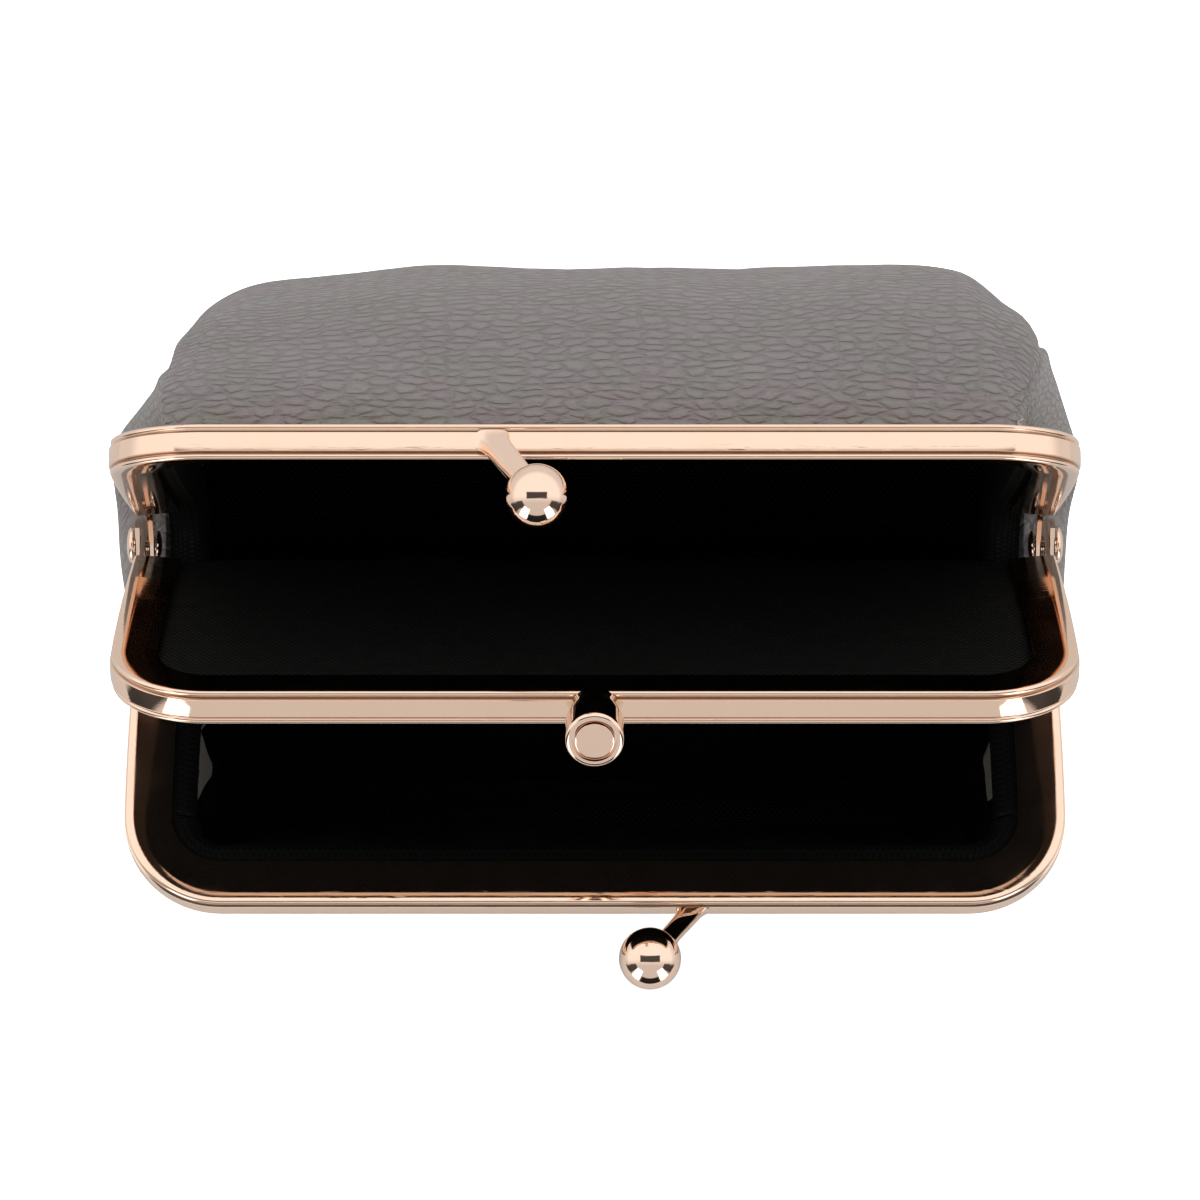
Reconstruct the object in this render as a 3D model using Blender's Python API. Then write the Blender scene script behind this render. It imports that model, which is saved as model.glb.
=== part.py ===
"""Triple frame coin purse: three U-shaped channel frames on one pair of rivets, two kiss-lock clasps that
snap past a post on the middle frame, and a boxy leather body with a lined rear pocket and front pocket.

Metres, +Z up. The purse stands on its base with the origin under the hinge axis; +X runs along the hinge,
the front is -Y. It is drawn open: the rear frame upright, the other two swung forward.
"""
from math import atan2, cos, pi, radians, sin

import bmesh
import bpy
import numpy as np
from mathutils import Matrix, Vector

for old in list(bpy.data.objects):
    bpy.data.objects.remove(old, do_unlink=True)

# Frames: one pressed channel, bent into a U
FRAME_WIDTH = 0.120
FRAME_REACH = 0.0483          # hinge axis to the crown of the rim
FRAME_CORNER = 0.0125
CHANNEL_THICKNESS = 0.0044
CHANNEL_DEPTH = 0.0062
SHEET_METAL = 0.0006
RIM_STEP = 0.0004             # the bead's groove, and how far the crown stands over the beads
RIM_SHOULDER = 0.0010
LEG_FOOT = 0.0080             # where the channel ends above the hinge axis
LEG_TAPER = 0.0014            # each leg draws in this much from its widest place to the hinge
STACK_GAP = 0.0003            # between frames, and between ears
MIDDLE_OPEN = 34.0            # degrees in the drawn pose, from the rear frame
FRONT_OPEN = 42.7             # degrees in the drawn pose, from the middle frame

# Hinges
HINGE_HEIGHT = 0.045
EAR_THICKNESS = 0.0006
EAR_RADIUS = 0.0034
EAR_ROOT_WIDTH = 0.0032
EAR_JOGGLE = 0.0034           # the height over which an ear steps in from its leg
PIN_RADIUS = 0.0010
PIN_HEAD_RADIUS = 0.0024
PIN_HEAD_HEIGHT = 0.0009
RUNNING_GAP = 0.0003

# Clasps and catch
BALL_RADIUS = 0.0039
BALL_ALONG = 0.0069           # ball centre from the middle of the bar
BALL_PAST = 0.0037            # ball centre past the middle frame's plane when shut
BALL_HEIGHT = 0.0093          # ball centre over the rim
ARM_FOOT_ALONG = 0.0124
ARM_FOOT_LONG, ARM_FOOT_DEEP = 0.0042, 0.0032
ARM_NECK_LONG, ARM_NECK_DEEP = 0.0028, 0.0026
POST_HEIGHT = 0.0088
POST_RADIUS = 0.0034
POST_NECK_RADIUS = 0.0030
POST_NECK_HEIGHT = 0.0024
BUTTON_RADIUS = 0.0025
BUTTON_THICKNESS = 0.0009
BUTTON_PROUD = 0.0002

# Leather body
LEATHER = 0.0012
LEATHER_IN_CHANNEL = 0.0009
INTERLINING = 0.0006
LINING = 0.0005
LAYER_GAP = 0.00035
TUCK = 0.0018                 # how deep the sheet edges go into the channel
LIP = 0.0008                  # how far the sheets come out of the mouth before they turn
SEAM_GAP = 0.0003
SHOULDER_STAND = 0.0037       # the turned leather, out from its frame's plane
REAR_PUFF, FRONT_PUFF, LEG_PUFF = 0.0140, 0.0130, 0.0050
REAR_PUFF_DROP, FRONT_PUFF_DROP = 0.0115, 0.0060
REAR_PUFF_INSET, FRONT_PUFF_INSET = 0.0060, 0.0015
REAR_PUFF_CORNER, FRONT_PUFF_CORNER = 0.0090, 0.0105
BELLY_PAST_FRAME = 0.0012     # the belly's sides, out from the frame's widest place
BELLY_REAR = 0.0365
BELLY_SET_BACK = 0.0040       # the belly's front, back from the front bar
BELLY_NARROWING = 0.0072      # how far each side draws in on its way to the rear corner
BELLY_REAR_HEIGHT, BELLY_SIDE_HEIGHT, BELLY_FRONT_HEIGHT = 0.0460, 0.0255, 0.0290
REAR_CORNER_ALONG, REAR_CORNER_DEEP = 0.0170, 0.0095
FRONT_CORNER = 0.0130
FOOT_HALF_SPREAD = 0.0097     # along Y from the hinge to where the gusset passes under a leg's foot
NARROWS_FROM = 0.0050
LOWER_DRAW_IN, LOWER_REAR_DRAW_IN, LOWER_FRONT_DRAW_IN = 0.0022, 0.0020, 0.0080
LOWER_NARROWING = 0.0057
LOWER_HEIGHT = 0.0130
BASE_DRAW_IN, BASE_REAR_DRAW_IN, BASE_FRONT_DRAW_IN = 0.0038, 0.0065, 0.0110
BASE_CORNER = 0.0090
FOLD_HEIGHT = 0.0010          # the slack front's folds, either side of its plain form
FOLD_PITCH = 0.0150
FOLD_LEVEL = 0.0293           # the height over the floor where the folds start to rise
FOLD_SWAY, FOLD_SWAY_LENGTH = 0.0018, 0.0850
FOLD_FADE = 0.0050
BASE_BOARD = 0.0015
EDGE_LIFT = 0.0004            # the walls' lower edge over the floor
BASE_CLEARANCE = 0.0005       # round the base, inside the walls

# Partition
PARTITION_CLOTH, PARTITION_CARD = 0.0005, 0.0005
PARTITION_NECK_INSET = 0.0130
PARTITION_NECK_LEVEL = 0.0072
PARTITION_FOOT = -0.0040      # where it meets the base, along Y

# Paper cords
CORD_RADIUS = 0.0010

# Counts
BAR_STEPS, CORNER_STEPS, LEG_STEPS = 3, 8, 4
SHEET_BAR_STEPS, SHEET_CORNER_STEPS, SHEET_LEG_STEPS, SHEET_HINGE_STEPS = 6, 4, 5, 4
SHEET_SPANS = (1, 3, 2, 3, 4, 2)
ARM_STEPS, ARM_SIDES = 5, 16
BALL_RINGS, BALL_SEGMENTS = 10, 20
ROUND_SEGMENTS, PIN_SEGMENTS = 24, 12
EAR_RUNGS = 5
CORD_SIDES = 6
PARTITION_CORNER_STEPS, PARTITION_LEG_STEPS, PARTITION_FALL_STEPS, PARTITION_COLUMNS = 4, 3, 7, 6

# Shares
BEAD_SHARE, GROOVE_SHARE, CROWN_SHARE = 0.86, 0.66, 0.50      # across half the channel, from its middle
EAR_LEAN_SHARE = 0.6          # of the lean from the hinge to the leg's foot
DOME_SHARE, DOME_RISE_SHARE = 0.62, 0.85
PEEN_SHARE, HEAD_SIDE_SHARE = 0.8, 0.33

HALF_WIDTH = FRAME_WIDTH / 2
HALF_CHANNEL = CHANNEL_THICKNESS / 2
PITCH = CHANNEL_THICKNESS + STACK_GAP
LEG_TOP = FRAME_REACH - FRAME_CORNER
HINGE = Vector((0, 0, HINGE_HEIGHT))
EAR_PITCH = EAR_THICKNESS + STACK_GAP
MIDDLE_EAR_X = HALF_WIDTH - LEG_TAPER - SHEET_METAL
RIM_CLEAR = FRAME_REACH + STACK_GAP
FRONT_ANGLE = MIDDLE_OPEN + FRONT_OPEN
BELLY_HALF_WIDTH = HALF_WIDTH + BELLY_PAST_FRAME
BELLY_FRONT = FRAME_REACH * sin(radians(FRONT_ANGLE)) - BELLY_SET_BACK
LOWER_HALF_WIDTH = BELLY_HALF_WIDTH - LOWER_DRAW_IN
LOWER_REAR, LOWER_FRONT = BELLY_REAR - LOWER_REAR_DRAW_IN, BELLY_FRONT - LOWER_FRONT_DRAW_IN
BASE_HALF_WIDTH = LOWER_HALF_WIDTH - BASE_DRAW_IN
BASE_REAR, BASE_FRONT = LOWER_REAR - BASE_REAR_DRAW_IN, LOWER_FRONT - BASE_FRONT_DRAW_IN
PARTITION_NECK_HALF_WIDTH = HALF_WIDTH - PARTITION_NECK_INSET
PUFF_ROW = sum(SHEET_SPANS[:3])
BASE_TOP = LEATHER + BASE_BOARD + LINING + 2 * LAYER_GAP
INNER_FOOT = BASE_TOP + LAYER_GAP


def principled(name, colour, roughness, metallic=0.0):
    material = bpy.data.materials.new(name)
    material.use_nodes = True
    shader = material.node_tree.nodes["Principled BSDF"]
    shader.inputs["Base Color"].default_value = (*colour, 1)
    shader.inputs["Roughness"].default_value = roughness
    shader.inputs["Metallic"].default_value = metallic
    material.diffuse_color = (*colour, 1)
    return material


ROSE_GOLD = (0.80, 0.55, 0.42), 0.12, 1.0
GREY_LEATHER = (0.20, 0.175, 0.18), 0.55
BLACK_CLOTH = (0.012, 0.012, 0.014), 0.8
CARD = (0.55, 0.52, 0.47), 0.9


def place(name, bm, finish, parent=None, smooth=40):
    """Turns a bmesh into a named object with its own material, riding its parent empty or standing at the hinge."""
    bmesh.ops.recalc_face_normals(bm, faces=bm.faces)
    mesh = bpy.data.meshes.new(name)
    bm.to_mesh(mesh)
    bm.free()
    mesh.shade_smooth()
    mesh.set_sharp_from_angle(angle=radians(smooth))
    obj = bpy.data.objects.new(name, mesh)
    bpy.context.collection.objects.link(obj)
    obj.data.materials.append(principled(name, *finish))
    obj.parent = parent
    if parent is None:
        obj.location = HINGE
    return obj


def leaf(name, degrees, parent=None):
    """An empty on the hinge axis that carries one moving frame; positive degrees swing it forward."""
    empty = bpy.data.objects.new(name, None)
    bpy.context.collection.objects.link(empty)
    empty.parent = parent
    if parent is None:
        empty.location = HINGE
    empty.rotation_euler = (radians(degrees), 0, 0)
    return empty


def skin_rings(bm, rings):
    """Joins rings of points into a tube with capped ends."""
    made = [[bm.verts.new(p) for p in ring] for ring in rings]
    count = len(made[0])
    for a, b in zip(made, made[1:]):
        for i in range(count):
            j = (i + 1) % count
            bm.faces.new((a[i], a[j], b[j], b[i]))
    bm.faces.new(made[0][::-1])
    bm.faces.new(made[-1])


def unite(target, *others):
    """Fuses other objects into target with an exact Boolean and removes them."""
    for other in others:
        union = target.modifiers.new("union", "BOOLEAN")
        union.operation = "UNION"
        union.solver = "EXACT"
        union.object = other
        carved = bpy.data.meshes.new_from_object(target.evaluated_get(bpy.context.evaluated_depsgraph_get()))
        target.modifiers.clear()
        target.data = carved
        bpy.data.objects.remove(other, do_unlink=True)
    return target


def rim_path(bar_steps, corner_steps, leg_steps, leg_foot=LEG_FOOT):
    """The right half of the rim's crown line in the frame's plane, from the middle of the bar to the leg's foot:
    a list of (x, z, inward x, inward z)."""
    points = []
    straight = HALF_WIDTH - FRAME_CORNER
    for i in range(bar_steps):
        points.append((straight * i / bar_steps, FRAME_REACH, 0, -1))
    for i in range(corner_steps):
        a = pi / 2 * i / corner_steps
        points.append((straight + FRAME_CORNER * sin(a), LEG_TOP + FRAME_CORNER * cos(a), -sin(a), -cos(a)))
    for i in range(leg_steps + 1):
        z = LEG_TOP + (leg_foot - LEG_TOP) * i / leg_steps
        points.append((HALF_WIDTH - LEG_TAPER * (1 - sin(pi / 2 * z / LEG_TOP)), z, -1, 0))
    return points


def whole(path):
    """Adds the mirrored left half in front of a right half that starts on the middle line."""
    return [(-x, z, -nx, nz) for x, z, nx, nz in path[:0:-1]] + path


def channel_section():
    """The channel's cross-section as (depth below the crown, offset across), a closed outline: two beads with a
    groove beside each, a raised crown between them, and two flanges round an open mouth."""
    h, inner = HALF_CHANNEL, HALF_CHANNEL - SHEET_METAL
    web = RIM_SHOULDER + SHEET_METAL
    half = [(0, CROWN_SHARE * h), (RIM_STEP, GROOVE_SHARE * h), (RIM_STEP / 2, BEAD_SHARE * h),
            (RIM_SHOULDER, h), (CHANNEL_DEPTH, h), (CHANNEL_DEPTH, inner), (web, inner)]
    return half + [(d, -y) for d, y in half[::-1]]


def ear(x_plate, y_leg, side):
    """One ear: a flat plate with a round end on the hinge axis, widened to its leg's foot, where it steps out
    to the leg's web."""
    root = LEG_FOOT + SHEET_METAL
    half_root = EAR_ROOT_WIDTH / 2
    start = pi + atan2(y_leg, root) * EAR_LEAN_SHARE
    angles = [start + 2 * pi * i / ROUND_SEGMENTS for i in range(ROUND_SEGMENTS // 2 + 1)]
    arc = [(EAR_RADIUS * cos(a), EAR_RADIUS * sin(a)) for a in angles]
    left, right = [arc[0]], [arc[-1]]
    for k in range(1, EAR_RUNGS + 1):
        share = k / EAR_RUNGS
        narrowing = 1 - (1 - share) ** 2
        for line, (y, z), y_root in ((left, arc[0], y_leg - half_root), (right, arc[-1], y_leg + half_root)):
            line.append((y + (y_root - y) * narrowing, z + (root - z) * share))

    bm = bmesh.new()

    def corner(y, z, face):
        share = min(1, max(0, (z - (root - EAR_JOGGLE)) / EAR_JOGGLE))
        x = x_plate + (MIDDLE_EAR_X - x_plate) * share * share * (3 - 2 * share)
        return bm.verts.new((side * (x + face * EAR_THICKNESS / 2), y, z))

    arcs, lefts, rights = [], [], []
    for face in (-1, 1):
        ring = [corner(y, z, face) for y, z in arc]
        arcs.append(ring)
        lefts.append([ring[0]] + [corner(y, z, face) for y, z in left[1:]])
        rights.append([ring[-1]] + [corner(y, z, face) for y, z in right[1:]])
        bm.faces.new(ring)
        for k in range(EAR_RUNGS):
            bm.faces.new((lefts[-1][k], rights[-1][k], rights[-1][k + 1]))
            bm.faces.new((lefts[-1][k], rights[-1][k + 1], lefts[-1][k + 1]))
    for line in (arcs, lefts, rights):
        for i in range(len(line[0]) - 1):
            bm.faces.new((line[0][i], line[0][i + 1], line[1][i + 1], line[1][i]))
    bm.faces.new((lefts[0][-1], rights[0][-1], rights[1][-1], lefts[1][-1]))
    return bm


def frame(name, layer, parent):
    """A channel frame: the swept U and its two ears. layer is 1 rear, 0 middle, -1 front."""
    offset = layer * PITCH
    path = whole(rim_path(BAR_STEPS, CORNER_STEPS, LEG_STEPS))
    section = channel_section()
    bm = bmesh.new()
    skin_rings(bm, [[(x + nx * d, offset + y, z + nz * d) for d, y in section] for x, z, nx, nz in path])
    body = place(name, bm, ROSE_GOLD, parent)
    bpy.context.view_layer.update()
    for side in (-1, 1):
        plate = place("ear", ear(MIDDLE_EAR_X - layer * EAR_PITCH, offset, side), ROSE_GOLD, parent)
        bore = bmesh.new()
        bmesh.ops.create_cone(bore, cap_ends=True, segments=PIN_SEGMENTS,
                              radius1=PIN_RADIUS + RUNNING_GAP, radius2=PIN_RADIUS + RUNNING_GAP,
                              depth=2 * CHANNEL_DEPTH)
        bmesh.ops.rotate(bore, verts=bore.verts, matrix=Matrix.Rotation(pi / 2, 3, "Y"))
        bmesh.ops.translate(bore, verts=bore.verts, vec=(side * MIDDLE_EAR_X, 0, 0))
        drill = place("drill", bore, ROSE_GOLD, parent)
        bpy.context.view_layer.update()
        cut = plate.modifiers.new("bore", "BOOLEAN")
        cut.operation, cut.solver, cut.object = "DIFFERENCE", "EXACT", drill
        plate.data = bpy.data.meshes.new_from_object(plate.evaluated_get(bpy.context.evaluated_depsgraph_get()))
        plate.modifiers.clear()
        bpy.data.objects.remove(drill, do_unlink=True)
        unite(body, plate)
    body.data.materials.clear()
    body.data.materials.append(principled(name, *ROSE_GOLD))
    body.data.shade_smooth()
    body.data.set_sharp_from_angle(angle=radians(30))
    return body


def turned(bm, profile, segments):
    """A solid of revolution: profile is (radius, height) from one pole to the other."""
    rings, poles = [], {}
    for k, (r, h) in enumerate(profile):
        if r == 0:
            poles[k] = bm.verts.new((0, 0, h))
            rings.append(None)
        else:
            rings.append([bm.verts.new((r * cos(2 * pi * i / segments), r * sin(2 * pi * i / segments), h))
                          for i in range(segments)])
    for k in range(len(profile) - 1):
        a, b = rings[k], rings[k + 1]
        for i in range(segments):
            j = (i + 1) % segments
            if a is None:
                bm.faces.new((poles[k], b[j], b[i]))
            elif b is None:
                bm.faces.new((a[i], a[j], poles[k + 1]))
            else:
                bm.faces.new((a[i], a[j], b[j], b[i]))


def rivet(name, side):
    """A rivet through the three ears: a domed head outside the front ear and a peened head inside the rear ear."""
    inner = MIDDLE_EAR_X - EAR_PITCH - EAR_THICKNESS / 2 - RUNNING_GAP
    outer = MIDDLE_EAR_X + EAR_PITCH + EAR_THICKNESS / 2 + RUNNING_GAP
    peen = PIN_HEAD_RADIUS * PEEN_SHARE
    head_side = PIN_HEAD_HEIGHT * HEAD_SIDE_SHARE
    profile = [(0, inner - PIN_HEAD_HEIGHT * PEEN_SHARE), (peen, inner - head_side), (peen, inner),
               (PIN_RADIUS, inner), (PIN_RADIUS, outer), (PIN_HEAD_RADIUS, outer),
               (PIN_HEAD_RADIUS, outer + head_side),
               (PIN_HEAD_RADIUS * DOME_SHARE, outer + PIN_HEAD_HEIGHT * DOME_RISE_SHARE), (0, outer + PIN_HEAD_HEIGHT)]
    bm = bmesh.new()
    turned(bm, profile, PIN_SEGMENTS)
    bmesh.ops.rotate(bm, verts=bm.verts, matrix=Matrix.Rotation(side * pi / 2, 3, "Y"))
    return place(name, bm, ROSE_GOLD)


def clasp(name, layer, parent):
    """One casting: a flattened tapered arm that leans over the middle frame, and the ball that snaps past the post."""
    foot = Vector((-layer * ARM_FOOT_ALONG, layer * PITCH, RIM_CLEAR))
    ball = Vector((-layer * BALL_ALONG, -layer * BALL_PAST, FRAME_REACH + BALL_HEIGHT))
    rings = []
    for k in range(ARM_STEPS + 1):
        share = k / ARM_STEPS
        centre = foot.lerp(ball, share)
        long = ARM_FOOT_LONG + (ARM_NECK_LONG - ARM_FOOT_LONG) * share
        deep = ARM_FOOT_DEEP + (ARM_NECK_DEEP - ARM_FOOT_DEEP) * share
        rings.append([(centre.x + long / 2 * cos(a), centre.y + deep / 2 * sin(a), centre.z)
                      for a in (2 * pi * i / ARM_SIDES for i in range(ARM_SIDES))])
    bm = bmesh.new()
    skin_rings(bm, rings)
    arm = place(name, bm, ROSE_GOLD, parent)
    bm = bmesh.new()
    bmesh.ops.create_uvsphere(bm, u_segments=BALL_SEGMENTS, v_segments=BALL_RINGS, radius=BALL_RADIUS)
    bmesh.ops.translate(bm, verts=bm.verts, vec=ball)
    knob = place("knob", bm, ROSE_GOLD, parent)
    bpy.context.view_layer.update()
    unite(arm, knob)
    arm.data.materials.clear()
    arm.data.materials.append(principled(name, *ROSE_GOLD))
    return arm


def catch(parent):
    """The post on the middle bar and the round button set in its end."""
    top = FRAME_REACH + POST_HEIGHT
    waist = RIM_CLEAR + POST_NECK_HEIGHT
    flare, edge = POST_RADIUS - POST_NECK_RADIUS, BUTTON_PROUD * 2
    recess = BUTTON_RADIUS + RUNNING_GAP
    floor = top - BUTTON_THICKNESS
    profile = [(0, RIM_CLEAR), (POST_NECK_RADIUS, RIM_CLEAR), (POST_NECK_RADIUS, waist),
               (POST_RADIUS, waist + flare), (POST_RADIUS, top - edge), (POST_RADIUS - edge, top),
               (recess, top), (recess, floor), (0, floor)]
    bm = bmesh.new()
    turned(bm, profile, ROUND_SEGMENTS)
    place("catch_post", bm, ROSE_GOLD, parent)
    bm = bmesh.new()
    proud = top + BUTTON_PROUD
    turned(bm, [(0, floor + RUNNING_GAP), (BUTTON_RADIUS, floor + RUNNING_GAP), (BUTTON_RADIUS, top),
                (BUTTON_RADIUS - BUTTON_PROUD, proud), (0, proud)], ROUND_SEGMENTS)
    place("catch_button", bm, ROSE_GOLD, parent)


def paper_cord(name, layer, parent):
    """The twisted paper cord that wedges the sheet edges in a channel, from foot to foot."""
    depth = RIM_SHOULDER + SHEET_METAL + RUNNING_GAP + CORD_RADIUS
    path = whole(rim_path(BAR_STEPS, CORNER_STEPS // 2, LEG_STEPS, LEG_FOOT + RUNNING_GAP))
    bm = bmesh.new()
    skin_rings(bm, [[(x + nx * (depth + CORD_RADIUS * cos(a)), layer * PITCH + CORD_RADIUS * sin(a),
                      z + nz * (depth + CORD_RADIUS * cos(a)))
                     for a in (2 * pi * i / CORD_SIDES for i in range(CORD_SIDES))] for x, z, nx, nz in path])
    return place(name, bm, CARD, parent)


def swing(point, degrees):
    """Turns (x, y, z) about the hinge axis, forward for positive degrees."""
    x, y, z = point
    a = radians(degrees)
    return (x, y * cos(a) - z * sin(a), y * sin(a) + z * cos(a))


def puff_path(drop, inset, corner):
    """The right half of the line of the puffed leather beside a frame, as rim_path gives its crown: the bar lowered
    by the drop, the legs drawn in by the inset at their tops, and its own corner radius."""
    half, top = HALF_WIDTH - inset, FRAME_REACH - drop
    points = []
    for i in range(SHEET_BAR_STEPS):
        points.append(((half - corner) * i / SHEET_BAR_STEPS, top, 0, 0))
    for i in range(SHEET_CORNER_STEPS):
        a = pi / 2 * i / SHEET_CORNER_STEPS
        points.append((half - corner + corner * sin(a), top - corner + corner * cos(a), 0, 0))
    for i in range(SHEET_LEG_STEPS + 1):
        share = 1 - i / SHEET_LEG_STEPS
        z = LEG_FOOT + (top - corner - LEG_FOOT) * share
        taper = LEG_TAPER * (1 - sin(pi / 2 * z / LEG_TOP))
        points.append((HALF_WIDTH - taper - inset * share, z, 0, 0))
    return points


def frame_loop(rear_path, front_path, depth, rear_stand, front_stand, foot_stand):
    """Half a guide loop of the leather that follows the frames: down the rear path, round under the hinge and up
    the front path. depth is from each path into the U; the stands are out from the hinge plane, at the bars and at
    the legs' feet."""
    def stood_off(path, stand):
        out = []
        for x, z, nx, nz in path:
            share = min(1, (z - LEG_FOOT) / (LEG_TOP - LEG_FOOT))
            out.append((x + nx * depth, foot_stand + (stand - foot_stand) * share, z + nz * depth))
        return out

    rear = stood_off(rear_path, rear_stand)
    front = [swing((x, -y, z), FRONT_ANGLE) for x, y, z in stood_off(front_path, front_stand)][::-1]
    x, y0, z0 = rear[-1]
    _, y1, z1 = front[0]
    reach = (y0 - y1) / sin(radians(FRONT_ANGLE))
    turn = np.array((x, y0, z1 - reach * cos(radians(FRONT_ANGLE))))
    under = []
    for i in range(1, SHEET_HINGE_STEPS):
        t = i / SHEET_HINGE_STEPS
        under.append(tuple(np.array(rear[-1]) * (1 - t) ** 2 + turn * (2 * t * (1 - t)) + np.array(front[0]) * t * t))
    return rear + under + front


def plan_loop(half_width, rear, front, rear_corner, front_corner, narrowing, heights):
    """Half a guide loop of the leather in plan: a rounded rectangle. The rear corner is (along X, along Y); towards
    it the side draws in by the narrowing. The heights over the floor ease from rear to side to front."""
    along, deep = rear_corner
    straight = half_width - narrowing - along
    side_end = rear - deep
    points = []
    for i in range(SHEET_BAR_STEPS):
        points.append((straight * i / SHEET_BAR_STEPS, rear))
    for i in range(SHEET_CORNER_STEPS):
        a = pi / 2 * i / SHEET_CORNER_STEPS
        points.append((straight + along * sin(a), side_end + deep * cos(a)))
    runs = ((side_end, FOOT_HALF_SPREAD, SHEET_LEG_STEPS), (FOOT_HALF_SPREAD, -FOOT_HALF_SPREAD, SHEET_HINGE_STEPS),
            (-FOOT_HALF_SPREAD, front_corner - front, SHEET_LEG_STEPS + 1))
    for start, end, steps in runs:
        for i in range(steps):
            y = start + (end - start) * i / min(steps, SHEET_LEG_STEPS)
            share = max(0, (y - NARROWS_FROM) / (side_end - NARROWS_FROM))
            points.append((half_width - narrowing * share ** 2, y))
    for i in range(1, SHEET_CORNER_STEPS + 1):
        a = pi / 2 * i / SHEET_CORNER_STEPS
        points.append((half_width - front_corner + front_corner * cos(a), front_corner - front - front_corner * sin(a)))
    for i in range(1, SHEET_BAR_STEPS + 1):
        points.append(((half_width - front_corner) * (1 - i / SHEET_BAR_STEPS), -front))
    rear_z, side_z, front_z = heights
    out = []
    for x, y in points:
        share = (rear - y) / (rear + front)
        if share < 0.5:
            z = rear_z + (side_z - rear_z) * (1 - cos(2 * pi * share)) / 2
        else:
            z = front_z + (side_z - front_z) * (1 - cos(2 * pi * share)) / 2
        out.append((x, y, z - HINGE_HEIGHT))
    return out


def closed_loop(half):
    """The whole loop from its right half: down the right side, then back up the left side."""
    return half + [(-x, y, z) for x, y, z in half[-2:0:-1]]


def spline(guides, spans):
    """A smooth curve through the guide loops at each station, its speed set by the distance between guides; spans
    gives the steps from each guide to the next."""
    g = np.array(guides)
    chord = np.linalg.norm(np.diff(g, axis=0), axis=2, keepdims=True)
    slope = np.diff(g, axis=0) / chord
    mean = (slope[:-1] * chord[1:] + slope[1:] * chord[:-1]) / (chord[1:] + chord[:-1])
    slope = np.concatenate([slope[:1], mean, slope[-1:]])
    rows = []
    for k, steps in enumerate(spans):
        for i in range(steps):
            t = i / steps
            rise = t * t * (3 - 2 * t)
            rows.append(g[k] * (1 - rise) + g[k + 1] * rise
                        + chord[k] * (slope[k] * (t * (1 - t) ** 2) - slope[k + 1] * (t * t * (1 - t))))
    rows.append(g[-1])
    return np.array(rows)


def inward_normals(grid):
    """The unit normals of the leather's outer face that point into the purse."""
    along = np.roll(grid, -1, axis=1) - np.roll(grid, 1, axis=1)
    normal = np.cross(along, np.gradient(grid, axis=0))
    normal /= np.linalg.norm(normal, axis=2, keepdims=True)
    middle = np.array((0, -BELLY_FRONT / 4, -HINGE_HEIGHT / 3))
    if np.sum(normal[PUFF_ROW] * (middle - grid[PUFF_ROW])) < 0:
        normal = -normal
    return normal


def smooth_step(value):
    t = np.clip(value, 0, 1)
    return t * t * (3 - 2 * t)


def front_folds(grid):
    """How far the folds of the slack front stand out of the leather's plain form."""
    x, y, z = np.moveaxis(grid, 2, 0)
    z = z + HINGE_HEIGHT
    slack = smooth_step((-y - FOOT_HALF_SPREAD) / (BELLY_FRONT / 2)) * smooth_step(z / FOLD_FADE - 1)
    below_puff = smooth_step((np.arange(len(grid)) - PUFF_ROW)[:, None] / SHEET_SPANS[3])
    sway = FOLD_SWAY * np.sin(2 * pi * x / FOLD_SWAY_LENGTH)
    return FOLD_HEIGHT * slack * below_puff * np.sin(2 * pi * (z + sway - FOLD_LEVEL) / FOLD_PITCH)


def body_surface():
    """The leather's outer face as a grid [row from the channel to the base, station round the purse], with its
    inward normals."""
    face = PITCH + HALF_CHANNEL - SHEET_METAL - STACK_GAP
    turn = PITCH + SHOULDER_STAND
    rear_corner, front_corner = (REAR_CORNER_ALONG, REAR_CORNER_DEEP), FRONT_CORNER
    rim = rim_path(SHEET_BAR_STEPS, SHEET_CORNER_STEPS, SHEET_LEG_STEPS)
    rear_puff = puff_path(REAR_PUFF_DROP, REAR_PUFF_INSET, REAR_PUFF_CORNER)
    front_puff = puff_path(FRONT_PUFF_DROP, FRONT_PUFF_INSET, FRONT_PUFF_CORNER)
    guides = [
        frame_loop(rim, rim, CHANNEL_DEPTH - TUCK, face, face, face),
        frame_loop(rim, rim, CHANNEL_DEPTH + LIP, face, face, face),
        frame_loop(rim, rim, CHANNEL_DEPTH + LIP, turn, turn, turn),
        frame_loop(rear_puff, front_puff, 0, PITCH + REAR_PUFF, PITCH + FRONT_PUFF, PITCH + LEG_PUFF),
        plan_loop(BELLY_HALF_WIDTH, BELLY_REAR, BELLY_FRONT, rear_corner, front_corner, BELLY_NARROWING,
                  (BELLY_REAR_HEIGHT, BELLY_SIDE_HEIGHT, BELLY_FRONT_HEIGHT)),
        plan_loop(LOWER_HALF_WIDTH, LOWER_REAR, LOWER_FRONT, rear_corner, front_corner, LOWER_NARROWING,
                  (LOWER_HEIGHT, LOWER_HEIGHT, LOWER_HEIGHT)),
        plan_loop(BASE_HALF_WIDTH, BASE_REAR, BASE_FRONT, (BASE_CORNER, BASE_CORNER), BASE_CORNER, 0,
                  (EDGE_LIFT, EDGE_LIFT, EDGE_LIFT)),
    ]
    plain = spline([closed_loop(guide) for guide in guides], SHEET_SPANS)
    grid = plain - inward_normals(plain) * front_folds(plain)[..., None]
    return grid, inward_normals(grid)


GRID, INWARD = body_surface()
STATIONS = GRID.shape[1]
HALF_REAR = SHEET_BAR_STEPS + SHEET_CORNER_STEPS
SIDE = 2 * SHEET_LEG_STEPS + SHEET_HINGE_STEPS


def stations(first, last):
    return [i % STATIONS for i in range(first, last + 1)]


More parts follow.
